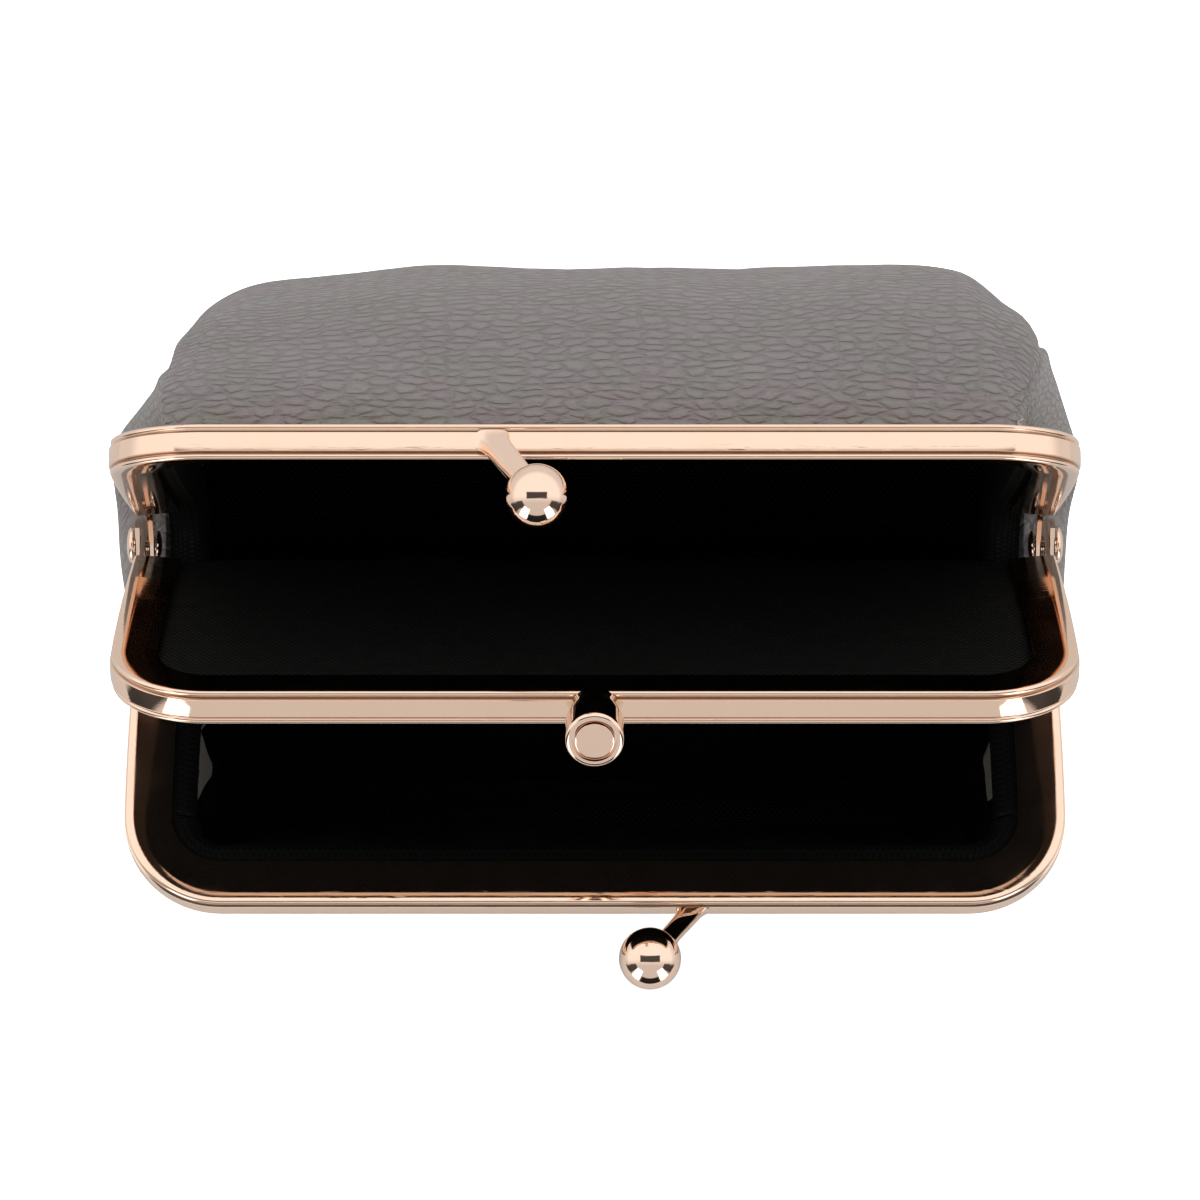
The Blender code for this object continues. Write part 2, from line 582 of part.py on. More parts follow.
PANEL_STATIONS = {
    "rear": stations(-HALF_REAR, HALF_REAR),
    "right": stations(HALF_REAR, HALF_REAR + SIDE),
    "front": stations(HALF_REAR + SIDE, 3 * HALF_REAR + SIDE),
    "left": stations(3 * HALF_REAR + SIDE, STATIONS - HALF_REAR),
}


def at_row(array, row, columns):
    """A row of the grid, or a place between two rows."""
    low = min(int(row), len(array) - 2)
    return array[low, columns] * (low + 1 - row) + array[low + 1, columns] * (row - low)


def sheet(name, panel, outer, inner, finish, first_row=0, foot=EDGE_LIFT):
    """A sheet between two depths under the leather's outer face. outer and inner are (depth in the channel,
    depth in the body); the sheet stops half a seam gap short of the next panel, and its foot over the floor."""
    columns = PANEL_STATIONS[panel]
    last_row = len(GRID) - 1
    foot_row = last_row - SHEET_SPANS[-1] * (foot - EDGE_LIFT) / (LOWER_HEIGHT - EDGE_LIFT)
    rows = [*range(first_row, last_row), foot_row]
    faces = []
    for in_channel, in_body in (outer, inner):
        layer = []
        for r in rows:
            share = min(1, r / PUFF_ROW)
            depth = in_channel + (in_body - in_channel) * share
            line = at_row(GRID, r, columns) + at_row(INWARD, r, columns) * depth
            for end, nxt in ((0, 1), (-1, -2)):
                step = line[nxt] - line[end]
                line[end] = line[end] + step * (SEAM_GAP / 2 / np.linalg.norm(step))
            layer.append(line)
        faces.append(layer)
    bm = bmesh.new()
    out, back = [[[bm.verts.new(p) for p in line] for line in layer] for layer in faces]
    last, end = len(out) - 1, len(columns) - 1
    for r in range(last):
        for c in range(end):
            for side in (out, back):
                corners = [side[r][c], side[r][c + 1], side[r + 1][c + 1], side[r + 1][c]]
                if corners[0].co.x > 0:       # the right half is split as the left half's mirror image
                    corners = corners[1:] + corners[:1]
                bm.faces.new(corners[:3])
                bm.faces.new((corners[0], corners[2], corners[3]))
        for c in (0, end):
            bm.faces.new((out[r][c], out[r + 1][c], back[r + 1][c], back[r][c]))
    for c in range(end):
        for r in (0, last):
            bm.faces.new((out[r][c], out[r][c + 1], back[r][c + 1], back[r][c]))
    return place(name, bm, finish)


def leather_body():
    """Four leather panels, with interlining behind the two large ones and black lining inside them all."""
    card_from = LEATHER + LAYER_GAP
    lining_from = card_from + INTERLINING + LAYER_GAP
    tucked = LEATHER_IN_CHANNEL + LAYER_GAP
    leather = (0, 0), (LEATHER_IN_CHANNEL, LEATHER)
    card = (card_from, card_from), (card_from + INTERLINING, card_from + INTERLINING)
    for panel, kind, behind in (("rear", "panel", lining_from), ("front", "panel", lining_from),
                                ("left", "gusset", card_from), ("right", "gusset", card_from)):
        sheet(f"{panel}_{kind}", panel, *leather, GREY_LEATHER)
        sheet(f"{panel}_{kind}_lining", panel, (tucked, behind), (tucked + LINING, behind + LINING), BLACK_CLOTH,
              foot=INNER_FOOT)
    for panel in ("rear", "front"):
        sheet(f"{panel}_interlining", panel, *card, CARD, first_row=PUFF_ROW, foot=INNER_FOOT)


def base_plate(name, low, thickness, inset, finish):
    """A flat plate inside the walls' lower edge."""
    corner = BASE_CORNER - inset
    half = plan_loop(BASE_HALF_WIDTH - inset, BASE_REAR - inset, BASE_FRONT - inset, (corner, corner), corner, 0,
                     (0, 0, 0))
    outline = closed_loop(half)
    bm = bmesh.new()
    skin_rings(bm, [[(x, y, level - HINGE_HEIGHT) for x, y, _ in outline] for level in (low, low + thickness)])
    return place(name, bm, finish)


def base():
    """The leather base that the purse stands on, its stiffening board and the lining over it."""
    inset = LEATHER + BASE_CLEARANCE
    board_low = LEATHER + LAYER_GAP
    base_plate("base_panel", 0, LEATHER, inset, GREY_LEATHER)
    base_plate("base_board", board_low, BASE_BOARD, inset, CARD)
    base_plate("base_lining", board_low + BASE_BOARD + LAYER_GAP, LINING, inset, BLACK_CLOTH)


def partition(parent):
    """Two cloths with a card between them: flat in the middle frame, then down to the base under the hinge."""
    tuck = CHANNEL_DEPTH - TUCK
    rows = []
    corner = FRAME_CORNER - tuck
    for i in range(PARTITION_CORNER_STEPS):
        a = pi / 2 * i / PARTITION_CORNER_STEPS
        rows.append((HALF_WIDTH - tuck - corner + corner * sin(a), 0, LEG_TOP + corner * cos(a)))
    for x, z, _, _ in rim_path(1, 1, PARTITION_LEG_STEPS)[2:]:
        rows.append((x - tuck, 0, z))
    rows.append((PARTITION_NECK_HALF_WIDTH, 0, PARTITION_NECK_LEVEL))
    foot = swing((0, PARTITION_FOOT, INNER_FOOT - HINGE_HEIGHT), -MIDDLE_OPEN)
    neck = Vector((0, 0, PARTITION_NECK_LEVEL))
    bend = Vector(swing((0, PARTITION_FOOT, 0), -MIDDLE_OPEN))
    end = Vector(foot)
    lift = Vector(swing((0, PARTITION_FOOT, -HINGE_HEIGHT / 2), -MIDDLE_OPEN))
    for i in range(1, PARTITION_FALL_STEPS + 1):
        t = i / PARTITION_FALL_STEPS
        p = neck * (1 - t) ** 3 + bend * (3 * t * (1 - t) ** 2) + lift * (3 * t * t * (1 - t)) + end * t ** 3
        rows.append((PARTITION_NECK_HALF_WIDTH, p.y, p.z))
    columns = PARTITION_COLUMNS
    layers = (("partition_rear_cloth", PARTITION_CARD / 2 + STACK_GAP, PARTITION_CLOTH, BLACK_CLOTH),
              ("partition_card", -PARTITION_CARD / 2, PARTITION_CARD, CARD),
              ("partition_front_cloth", -PARTITION_CARD / 2 - STACK_GAP - PARTITION_CLOTH, PARTITION_CLOTH,
               BLACK_CLOTH))
    spine = np.array([(y, z) for _, y, z in rows])
    tangent = np.gradient(spine, axis=0)
    tangent /= np.linalg.norm(tangent, axis=1, keepdims=True)
    across = np.stack([-tangent[:, 1], tangent[:, 0]], axis=1)
    for name, low, thickness, finish in layers:
        rings = []
        for (half, y, z), (ny, nz) in zip(rows, across):
            row = [(half * (2 * i / columns - 1), y + ny * low, z + nz * low) for i in range(columns + 1)]
            high = low + thickness
            back = [(half * (1 - 2 * i / columns), y + ny * high, z + nz * high) for i in range(columns + 1)]
            rings.append(row + back)
        bm = bmesh.new()
        skin_rings(bm, rings)
        bmesh.ops.triangulate(bm, faces=bm.faces)
        place(name, bm, finish, parent)


middle_leaf = leaf("middle_leaf", MIDDLE_OPEN)
front_leaf = leaf("front_leaf", FRONT_OPEN, middle_leaf)
bpy.context.view_layer.update()

frame("rear_frame", 1, None)
frame("middle_frame", 0, middle_leaf)
frame("front_frame", -1, front_leaf)
rivet("left_rivet", -1)
rivet("right_rivet", 1)
clasp("rear_clasp", 1, None)
clasp("front_clasp", -1, front_leaf)
catch(middle_leaf)
paper_cord("rear_cord", 1, None)
paper_cord("middle_cord", 0, middle_leaf)
paper_cord("front_cord", -1, front_leaf)
leather_body()
base()
partition(middle_leaf)
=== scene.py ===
"""Triple frame coin purse, open, for a product photograph: rose gold channel frames on two rivets, kiss-lock
clasps, grey pebbled leather and a black woven lining. Metres, +Z up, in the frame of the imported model."""
from math import atan2, cos, pi, radians, sin

import bmesh
import bpy
import numpy as np
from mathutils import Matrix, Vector


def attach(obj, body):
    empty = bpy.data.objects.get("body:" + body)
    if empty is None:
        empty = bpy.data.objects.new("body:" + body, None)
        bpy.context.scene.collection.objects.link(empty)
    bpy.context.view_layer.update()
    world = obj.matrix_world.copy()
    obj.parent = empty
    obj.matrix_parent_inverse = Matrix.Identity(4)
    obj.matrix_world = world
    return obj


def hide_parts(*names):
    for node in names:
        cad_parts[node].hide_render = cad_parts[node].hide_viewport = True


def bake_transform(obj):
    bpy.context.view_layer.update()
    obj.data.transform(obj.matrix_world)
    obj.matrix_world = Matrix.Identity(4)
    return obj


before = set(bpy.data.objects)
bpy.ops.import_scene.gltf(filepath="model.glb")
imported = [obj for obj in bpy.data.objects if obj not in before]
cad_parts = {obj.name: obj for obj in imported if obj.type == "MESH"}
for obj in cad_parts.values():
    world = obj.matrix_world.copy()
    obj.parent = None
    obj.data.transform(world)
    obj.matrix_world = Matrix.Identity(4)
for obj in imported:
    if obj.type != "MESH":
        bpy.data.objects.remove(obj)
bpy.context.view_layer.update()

# Camera
# A long lens looks almost straight down into the open purse, from 9 degrees in front of the vertical.
# The hinge pins are the middle of the swing of all three frames, so every height is given from their axis.
HINGE = Vector((0, 0, 0.045))
CAMERA_LEAN = radians(9)
CAMERA_DISTANCE, AIM_BELOW_HINGE, AIM_ACROSS = 0.795, 0.0071, 0.00065
towards_camera = Vector((0, -sin(CAMERA_LEAN), cos(CAMERA_LEAN)))
picture_up = Vector((0, cos(CAMERA_LEAN), sin(CAMERA_LEAN)))
camera = bpy.data.objects.new("camera", bpy.data.cameras.new("camera"))
bpy.context.collection.objects.link(camera)
camera.data.lens = 184.8
camera.data.sensor_width = 36
camera.data.clip_start = 0.05
camera.data.clip_end = 20
camera.location = HINGE + towards_camera * CAMERA_DISTANCE - picture_up * AIM_BELOW_HINGE
camera.location.x += AIM_ACROSS
camera.rotation_euler = (CAMERA_LEAN, 0, 0)
bpy.context.scene.camera = camera
bpy.context.scene.view_settings.view_transform = "Standard"


# Studio
# A white tent over a small white table, as the polished balls show it: the dark camera rig overhead, two
# soft boxes at the front corners with grey flags over them, and the unlit room below the table's edge.
def add(tree, kind, inputs=(), **settings):
    """Adds a node with its settings; its inputs take a value, or a link from another node's output."""
    made = tree.nodes.new(kind)
    for name, value in settings.items():
        setattr(made, name, value)
    for socket, value in dict(inputs).items():
        if isinstance(value, bpy.types.NodeSocket):
            tree.links.new(value, made.inputs[socket])
        else:
            made.inputs[socket].default_value = value
    return made


def maths(tree, operation, a, b=0.0):
    return add(tree, "ShaderNodeMath", {0: a, 1: b}, operation=operation).outputs[0]


def times(tree, *values):
    result = values[0]
    for value in values[1:]:
        result = maths(tree, "MULTIPLY", result, value)
    return result


def ease(tree, value, low, high, at_low=0.0, at_high=1.0):
    """A smooth step from one value at low to another at high."""
    levels = {"Value": value, "From Min": low, "From Max": high, "To Min": at_low, "To Max": at_high}
    return add(tree, "ShaderNodeMapRange", levels, interpolation_type="SMOOTHSTEP").outputs[0]


world = bpy.data.worlds.new("white studio")
bpy.context.scene.world = world
world.use_nodes = True
sky = world.node_tree
sky.nodes.clear()
direction = add(sky, "ShaderNodeTexCoord").outputs["Generated"]


def along(axis):
    share = add(sky, "ShaderNodeVectorMath", {0: direction, 1: tuple(axis)}, operation="DOT_PRODUCT")
    return share.outputs["Value"]


def between(value, low, high, edge):
    return times(sky, ease(sky, value, low - edge, low + edge), ease(sky, value, high + edge, high - edge))


sideways = maths(sky, "ABSOLUTE", along((1, 0, 0)))
picture_rise, lens_side = along(picture_up), along(towards_camera)
studio_light = times(sky, ease(sky, picture_rise, 0.05, -0.45, 1.15, 0.70),
                     ease(sky, lens_side, -0.25, 0.15, 0.70, 1.0))
CAMERA_RIG = (-1, 0.60), (-0.17, 0.23), (0.5, 2), 0.03, 0.07
GREY_FLAGS = (0.60, 0.97), (-0.60, -0.26), (-0.45, 0.55), 0.04, 0.10
UNLIT_ROOM = (-1, 0.42), (-2, -0.82), (-0.55, 0.25), 0.04, 0.03
for across_reach, up_range, lens_range, edge, light_left in (CAMERA_RIG, GREY_FLAGS, UNLIT_ROOM):
    covered = times(sky, between(sideways, *across_reach, edge), between(picture_rise, *up_range, edge),
                    between(lens_side, *lens_range, edge))
    studio_light = times(sky, studio_light, maths(sky, "SUBTRACT", 1.0, times(sky, covered, 1 - light_left)))
studio = add(sky, "ShaderNodeBackground", {"Color": (1, 0.99, 0.975, 1), "Strength": studio_light})
paper_white = add(sky, "ShaderNodeBackground", {"Color": (1, 1, 1, 1), "Strength": 1.0})
seen = add(sky, "ShaderNodeLightPath").outputs["Is Camera Ray"]
mixed = add(sky, "ShaderNodeMixShader", {0: seen, 1: studio.outputs[0], 2: paper_white.outputs[0]})
add(sky, "ShaderNodeOutputWorld", {"Surface": mixed.outputs[0]})

BOX_WIDTH, BOX_HEIGHT, BOX_WATTS = 0.31, 0.70, 1.25
BOX_ACROSS, BOX_Y, BOX_Z = 0.468, -0.644, 0.125
for side in (-1, 1):
    box_light = bpy.data.objects.new("soft box", bpy.data.lights.new("soft box", "AREA"))
    bpy.context.collection.objects.link(box_light)
    box_light.data.shape = "RECTANGLE"
    box_light.data.size = BOX_WIDTH
    box_light.data.size_y = BOX_HEIGHT
    box_light.data.energy = BOX_WATTS
    box_light.location = (side * BOX_ACROSS, BOX_Y, BOX_Z)
    box_light.rotation_euler = (HINGE - box_light.location).to_track_quat("-Z", "Y").to_euler()


def noise(tree, vector, scale, detail):
    levels = {"Vector": vector, "Scale": scale, "Detail": detail}
    return add(tree, "ShaderNodeTexNoise", levels).outputs["Fac"]


def mixed_colour(tree, factor, a, b):
    """Two colours mixed by a factor; each is a socket, or red, green and blue."""
    a, b = (value if isinstance(value, bpy.types.NodeSocket) else (*value, 1) for value in (a, b))
    return add(tree, "ShaderNodeMix", {"Factor": factor, "A": a, "B": b}, data_type="RGBA").outputs["Result"]


def object_place(tree):
    return add(tree, "ShaderNodeTexCoord").outputs["Object"]


def new_finish(name):
    """A new material with its node tree and its shader."""
    material = bpy.data.materials.new(name)
    material.use_nodes = True
    return material, material.node_tree, material.node_tree.nodes["Principled BSDF"]


TABLE_HALF = 0.20
floor_mesh = bmesh.new()
bmesh.ops.create_grid(floor_mesh, x_segments=8, y_segments=8, size=TABLE_HALF)
floor_data = bpy.data.meshes.new("table")
floor_mesh.to_mesh(floor_data)
floor_mesh.free()
table = bpy.data.objects.new("table", floor_data)
bpy.context.collection.objects.link(table)
table_top, paint, paint_shader = new_finish("white table")
paint_shader.inputs["Roughness"].default_value = 0.9
mottle = noise(paint, object_place(paint), 14.0, 2.0)
plain = mixed_colour(paint, mottle, (0.80, 0.80, 0.80), (0.82, 0.82, 0.82))
shown = add(paint, "ShaderNodeLightPath").outputs["Is Camera Ray"]
paint.links.new(mixed_colour(paint, shown, plain, (2.6, 2.6, 2.6)), paint_shader.inputs["Base Color"])
table.data.materials.append(table_top)

# Channel frames
# Each frame is one strip of steel, pressed into a channel with a raised crown and a bead along each side,
# bent into a U, and plated in polished rose gold. An ear brazed in each foot turns on the rivet.
HALF_WIDTH = 0.060
REACH = 0.0483
CORNER = 0.0125
HALF_CHANNEL = 0.0022
CHANNEL_DEPTH = 0.0062
SHEET_METAL = 0.0006
LEG_FOOT = 0.0080
LEG_TAPER = 0.0014
LEG_TOP = REACH - CORNER
PITCH = 0.0047
MIDDLE_OPEN = 34.0
FRONT_OPEN = 42.7
FLANGE_CRIMP = 0.105
EAR_THICKNESS = 0.0006
EAR_RADIUS = 0.0034
EAR_PITCH = 0.0009
HOLE_RADIUS = 0.0013
MIDDLE_EAR_X = HALF_WIDTH - LEG_TAPER - SHEET_METAL
SWING = {1: 0.0, 0: MIDDLE_OPEN, -1: MIDDLE_OPEN + FRONT_OPEN}
BODY = {1: "bag", 0: "middle_leaf", -1: "front_leaf"}


def swing(points, degrees):
    """Turns points about the hinge axis, forward for positive degrees."""
    p = np.asarray(points, float)
    c, s = cos(radians(degrees)), sin(radians(degrees))
    return np.stack([p[..., 0], p[..., 1] * c - p[..., 2] * s, p[..., 1] * s + p[..., 2] * c], axis=-1)


def rim_path(bar_steps, corner_steps, leg_steps, leg_foot=LEG_FOOT):
    """The right half of the crown line: rows of x, z and the direction into the U."""
    straight = HALF_WIDTH - CORNER
    points = [(straight * i / bar_steps, REACH, 0, -1) for i in range(bar_steps)]
    for i in range(corner_steps):
        a = pi / 2 * i / corner_steps
        points.append((straight + CORNER * sin(a), LEG_TOP + CORNER * cos(a), -sin(a), -cos(a)))
    for i in range(leg_steps + 1):
        z = LEG_TOP + (leg_foot - LEG_TOP) * i / leg_steps
        points.append((HALF_WIDTH - LEG_TAPER * (1 - sin(pi / 2 * z / LEG_TOP)), z, -1, 0))
    return np.array(points)


def whole(path):
    return np.concatenate([path[:0:-1] * (-1, 1, -1, 1), path])


def channel_section():
    """The channel's outline as (depth below the crown, offset across, mask of painted shade). The mask is 1
    in the groove and on the web inside. Its flanges are pressed together a little past the web, which clamps
    the cloth."""
    h, inner, web = HALF_CHANNEL, HALF_CHANNEL - SHEET_METAL, 0.0016
    crown = [(0.00003 * (a / 0.5) ** 2, a * h, 0) for a in (0, 0.12, 0.24, 0.36, 0.46, 0.50)]
    groove_shade = [(0.00012, 0.525 * h, 0), (0.00042, 0.555 * h, 1), (0.00050, 0.580 * h, 1),
              (0.00046, 0.605 * h, 1)]
    bead = [(0.00058 - 0.00038 * sin(a), 0.825 * h + 0.175 * h * cos(a), 0)
            for a in map(radians, (155, 130, 105, 80, 55, 28, 0))]
    flange = [(d, h - FLANGE_CRIMP * max(0, d - web), 0) for d in (0.0010, 0.0016, 0.0022, 0.0042, 0.0058)]
    tip = h - FLANGE_CRIMP * (0.0060 - web) - 0.0003
    hem = [(0.0060 + 0.0002 * sin(a), tip + 0.0003 * cos(a), 0) for a in map(radians, (15, 60, 120, 165))]
    inside = [(d, inner - FLANGE_CRIMP * max(0, d - web), 0) for d in (0.0058, 0.0042, 0.0025, web + 0.0003)]
    inside.append((web, inner - 0.0003, 1))
    half = crown + groove_shade + bead + flange + hem + inside
    return np.array(half + [(web, 0, 1)] + [(d, -y, m) for d, y, m in half[:0:-1]])


def skin(rings):
    """Vertices and faces of a capped tube through equal rings of points."""
    rings = np.asarray(rings)
    steps, count = rings.shape[:2]
    faces = []
    for k in range(steps - 1):
        for i in range(count):
            j = (i + 1) % count
            faces.append((k * count + i, k * count + j, (k + 1) * count + j, (k + 1) * count + i))
    faces.append(tuple(range(count))[::-1])
    faces.append(tuple((steps - 1) * count + i for i in range(count)))
    return rings.reshape(-1, 3), faces


def piece(name, parts, finish, smooth=35, degrees=0.0):
    """A mesh object at the origin from (vertices, faces) parts that stand at the hinge, swung into place."""
    bm = bmesh.new()
    for vertices, faces in parts:
        made = [bm.verts.new(p) for p in swing(vertices, degrees) + np.array(HINGE)]
        for face in faces:
            bm.faces.new([made[i] for i in face])
    bmesh.ops.recalc_face_normals(bm, faces=bm.faces)
    mesh = bpy.data.meshes.new(name)
    bm.to_mesh(mesh)
    bm.free()
    mesh.shade_smooth()
    mesh.set_sharp_from_angle(angle=radians(smooth))
    obj = bpy.data.objects.new(name, mesh)
    bpy.context.collection.objects.link(obj)
    mesh.materials.append(finish)
    return obj


def hand_over(obj, node, body):
    """Says which sub-part a finished mesh shows and the body that it moves with."""
    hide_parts(node)
    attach(obj, body)


def arc(radius, start, sweep, steps):
    """Points on a circle round the rivet, from a start angle through a sweep."""
    angles = [start + sweep * i / steps for i in range(steps + 1)]
    return [(radius * cos(a), radius * sin(a)) for a in angles]


def ear_plate(x_plate, y_leg, side):
    """A flat ear with a round end and a bored hole, stepped out to its leg's web: two faces and a rim."""
    root, joggle, half_root, arch_radius = LEG_FOOT + SHEET_METAL, 0.0034, 0.0016, 0.0022
    rows, columns, arch_row = 16, 8, 3
    lean = atan2(y_leg, root) * 0.6
    rim = arc(EAR_RADIUS, pi + lean, pi, 2 * columns)
    lower_hole = arc(HOLE_RADIUS, pi + lean, pi, 2 * columns)
    upper_hole = arc(HOLE_RADIUS, pi + lean, -pi, columns)
    arch = arc(arch_radius, pi + lean, -pi, columns)

    def edge(end, y_root, share):
        return (end[0] + (y_root - end[0]) * (1 - (1 - share) ** 2), end[1] + (root - end[1]) * share)

    def place(y, z, face):
        share = min(1.0, max(0.0, (z - (root - joggle)) / joggle))
        x = x_plate + (MIDDLE_EAR_X - x_plate) * share * share * (3 - 2 * share)
        return (side * (x + face * EAR_THICKNESS / 2), y, z)

    tongue = []
    for k in range(1, rows + 1):
        left = np.array(edge(rim[0], y_leg - half_root, k / rows))
        right = np.array(edge(rim[-1], y_leg + half_root, k / rows))
        tongue.append([tuple(left * (1 - t) + right * t) for t in np.linspace(0, 1, columns + 1)])
    over_arch = [[((1 - s) * a[0] + s * b[0], (1 - s) * a[1] + s * b[1])
                  for a, b in zip(arch, tongue[arch_row])] for s in (0.5, 1.0)]
    vertices, faces = [], []

    def grid(lines, face):
        first = len(vertices)
        for line in lines:
            vertices.extend(place(y, z, face) for y, z in line)
        width = len(lines[0])
        for k in range(len(lines) - 1):
            for i in range(width - 1):
                a = first + k * width + i
                faces.append((a, a + 1, a + width + 1, a + width))

    for face in (-1, 1):
        grid([rim, lower_hole], face)
        grid([upper_hole, arch] + over_arch + tongue[arch_row + 1:], face)
        for end, y_root in ((0, y_leg - half_root), (-1, y_leg + half_root)):
            beside_arch = tongue[arch_row][end]
            grid([[rim[end], edge(rim[end], y_root, 2 / rows), beside_arch],
                  [upper_hole[end], arch[end], beside_arch]], face)
    outline = [tongue[k][0] for k in range(rows - 1, -1, -1)] + rim + [tongue[k][-1] for k in range(rows)]
    for loop in (outline, arc(HOLE_RADIUS, 0, 2 * pi, 4 * columns)):
        first = len(vertices)
        for y, z in loop:
            vertices.append(place(y, z, -1))
            vertices.append(place(y, z, 1))
        for i in range(len(loop) - 1):
            a = first + 2 * i
            faces.append((a, a + 1, a + 3, a + 2))
    return np.array(vertices), faces


def effect(name, inputs, outputs):
    """An empty shader node group with named sockets."""
    group = bpy.data.node_groups.new(name, "ShaderNodeTree")
    for socket, kind, value in inputs:
        made = group.interface.new_socket(socket, in_out="INPUT", socket_type=kind)
        made.default_value = value
    for socket, kind in outputs:
        group.interface.new_socket(socket, in_out="OUTPUT", socket_type=kind)
    return group, group.nodes.new("NodeGroupInput").outputs, group.nodes.new("NodeGroupOutput").inputs


# Handling marks on polished plating: cloudy patches of finger haze, and hairlines from the pocket.
handling, taken, given = effect("handling marks", [("Position", "NodeSocketVector", (0, 0, 0)),
                                                   ("Haze", "NodeSocketFloat", 0.05)],
                                [("Roughness", "NodeSocketFloat"), ("Height", "NodeSocketFloat"),
                                 ("Cloud", "NodeSocketFloat")])
cloud = noise(handling, taken["Position"], 170.0, 4.0)
hairs = add(handling, "ShaderNodeMapping", {"Vector": taken["Position"], "Scale": (260, 2600, 1900)})
haze = times(handling, ease(handling, cloud, 0.35, 0.75), taken["Haze"])
handling.links.new(maths(handling, "ADD", haze, 0.045), given["Roughness"])
handling.links.new(ease(handling, noise(handling, hairs.outputs[0], 1.0, 2.0), 0.55, 0.8), given["Height"])
handling.links.new(cloud, given["Cloud"])


def use(tree, group, inputs):
    return add(tree, "ShaderNodeGroup", inputs, node_tree=group).outputs


def rose_gold(name, light, deep, haze):
    """Polished rose gold plate; an attribute on the groove and the web paints shade there in a darker colour,
    and makes them rougher.
    """
    material, tree, shader = new_finish(name)
    shader.inputs["Metallic"].default_value = 1.0
    marks = use(tree, handling, {"Position": object_place(tree), "Haze": haze})
    plate = mixed_colour(tree, marks["Cloud"], light, deep)
    groove_shade = add(tree, "ShaderNodeAttribute", attribute_name="groove_shade").outputs["Fac"]
    # Painted shade: the groove and the web inside the channel are mixed towards dark bronze.
    shaded_plate = mixed_colour(tree, times(tree, groove_shade, 0.45), plate, (0.10, 0.045, 0.03))
    tree.links.new(shaded_plate, shader.inputs["Base Color"])
    rough = maths(tree, "ADD", marks["Roughness"], times(tree, groove_shade, 0.25))
    tree.links.new(rough, shader.inputs["Roughness"])
    relief = add(tree, "ShaderNodeBump", {"Strength": 0.25, "Distance": 0.00001, "Height": marks["Height"]})
    tree.links.new(relief.outputs[0], shader.inputs["Normal"])
    return material


plated = rose_gold("rose gold plate", (0.93, 0.70, 0.555), (0.90, 0.655, 0.505), 0.05)

section = channel_section()
path = whole(rim_path(24, 28, 20))
for frame_name, layer in (("rear_frame", 1), ("middle_frame", 0), ("front_frame", -1)):
    rings = np.empty((len(path), len(section), 3))
    rings[..., 0] = path[:, None, 0] + path[:, None, 2] * section[None, :, 0]
    rings[..., 1] = layer * PITCH + section[None, :, 1]
    rings[..., 2] = path[:, None, 1] + path[:, None, 3] * section[None, :, 0]
    parts = [skin(rings)]
    for side in (-1, 1):
        parts.append(ear_plate(MIDDLE_EAR_X - layer * EAR_PITCH, layer * PITCH, side))
    channel = piece(frame_name + "_channel", parts, plated, degrees=SWING[layer])
    # This mask paints shade into the channel's groove and web.
    groove_shade = channel.data.attributes.new("groove_shade", "FLOAT", "POINT")
    mask = np.zeros(len(channel.data.vertices), np.float32)
    mask[:rings.shape[0] * rings.shape[1]] = np.tile(section[:, 2], len(path))
    groove_shade.data.foreach_set("value", mask)
    hand_over(channel, frame_name, BODY[layer])


# Rivets
# A solid pin goes through the three ears on each side. Its outer head is domed, its inner end peened over.
def turned(profile, segments, axis="Z", side=1):
    """A turned part from a profile of (radius, height); the first and last radius may be 0."""
    vertices, rows = [], []
    for r, h in profile:
        first = len(vertices)
        count = 1 if r == 0 else segments
        for i in range(count):
            a = 2 * pi * i / segments
            vertices.append((r * cos(a), r * sin(a), h))
        rows.append((first, count))
    faces = []
    for (a, na), (b, nb) in zip(rows, rows[1:]):
        for i in range(segments):
            j = (i + 1) % segments
            corners = [a + i % na, a + j % na, b + j % nb, b + i % nb]
            faces.append(tuple(dict.fromkeys(corners)))
    vertices = np.array(vertices)
    if axis == "X":
        vertices = np.stack([side * vertices[:, 2], vertices[:, 1], vertices[:, 0]], axis=1)
    return vertices, faces


outer_head = MIDDLE_EAR_X + EAR_PITCH + EAR_THICKNESS / 2 + 0.0003
inner_head = MIDDLE_EAR_X - EAR_PITCH - EAR_THICKNESS / 2 - 0.0003
PIN_RADIUS, PEENED_RADIUS, HEAD_RADIUS = 0.0010, 0.0019, 0.0024
PEENED_HEIGHT, HEAD_HEIGHT, HEAD_EDGE = 0.00056, 0.0007, 0.0001
rivet_profile = [(0, inner_head - HEAD_EDGE - PEENED_HEIGHT)]
rivet_profile += [(PEENED_RADIUS * sin(a), inner_head - HEAD_EDGE - PEENED_HEIGHT * cos(a))
                  for a in map(radians, (25, 45, 65, 80, 90))]
rivet_profile += [(PEENED_RADIUS, inner_head), (PIN_RADIUS, inner_head), (PIN_RADIUS, outer_head),
                  (HEAD_RADIUS - HEAD_EDGE, outer_head), (HEAD_RADIUS, outer_head + HEAD_EDGE)]
rivet_profile += [(HEAD_RADIUS * cos(a), outer_head + 2 * HEAD_EDGE + HEAD_HEIGHT * sin(a))
                  for a in map(radians, (8, 20, 35, 50, 65, 78))]
rivet_profile += [(0, outer_head + 2 * HEAD_EDGE + HEAD_HEIGHT)]
for rivet_name, side in (("left_rivet", -1), ("right_rivet", 1)):
    rivet = piece(rivet_name + "_pin", [turned(rivet_profile, 40, "X", side)], plated)
    hand_over(rivet, rivet_name, "bag")

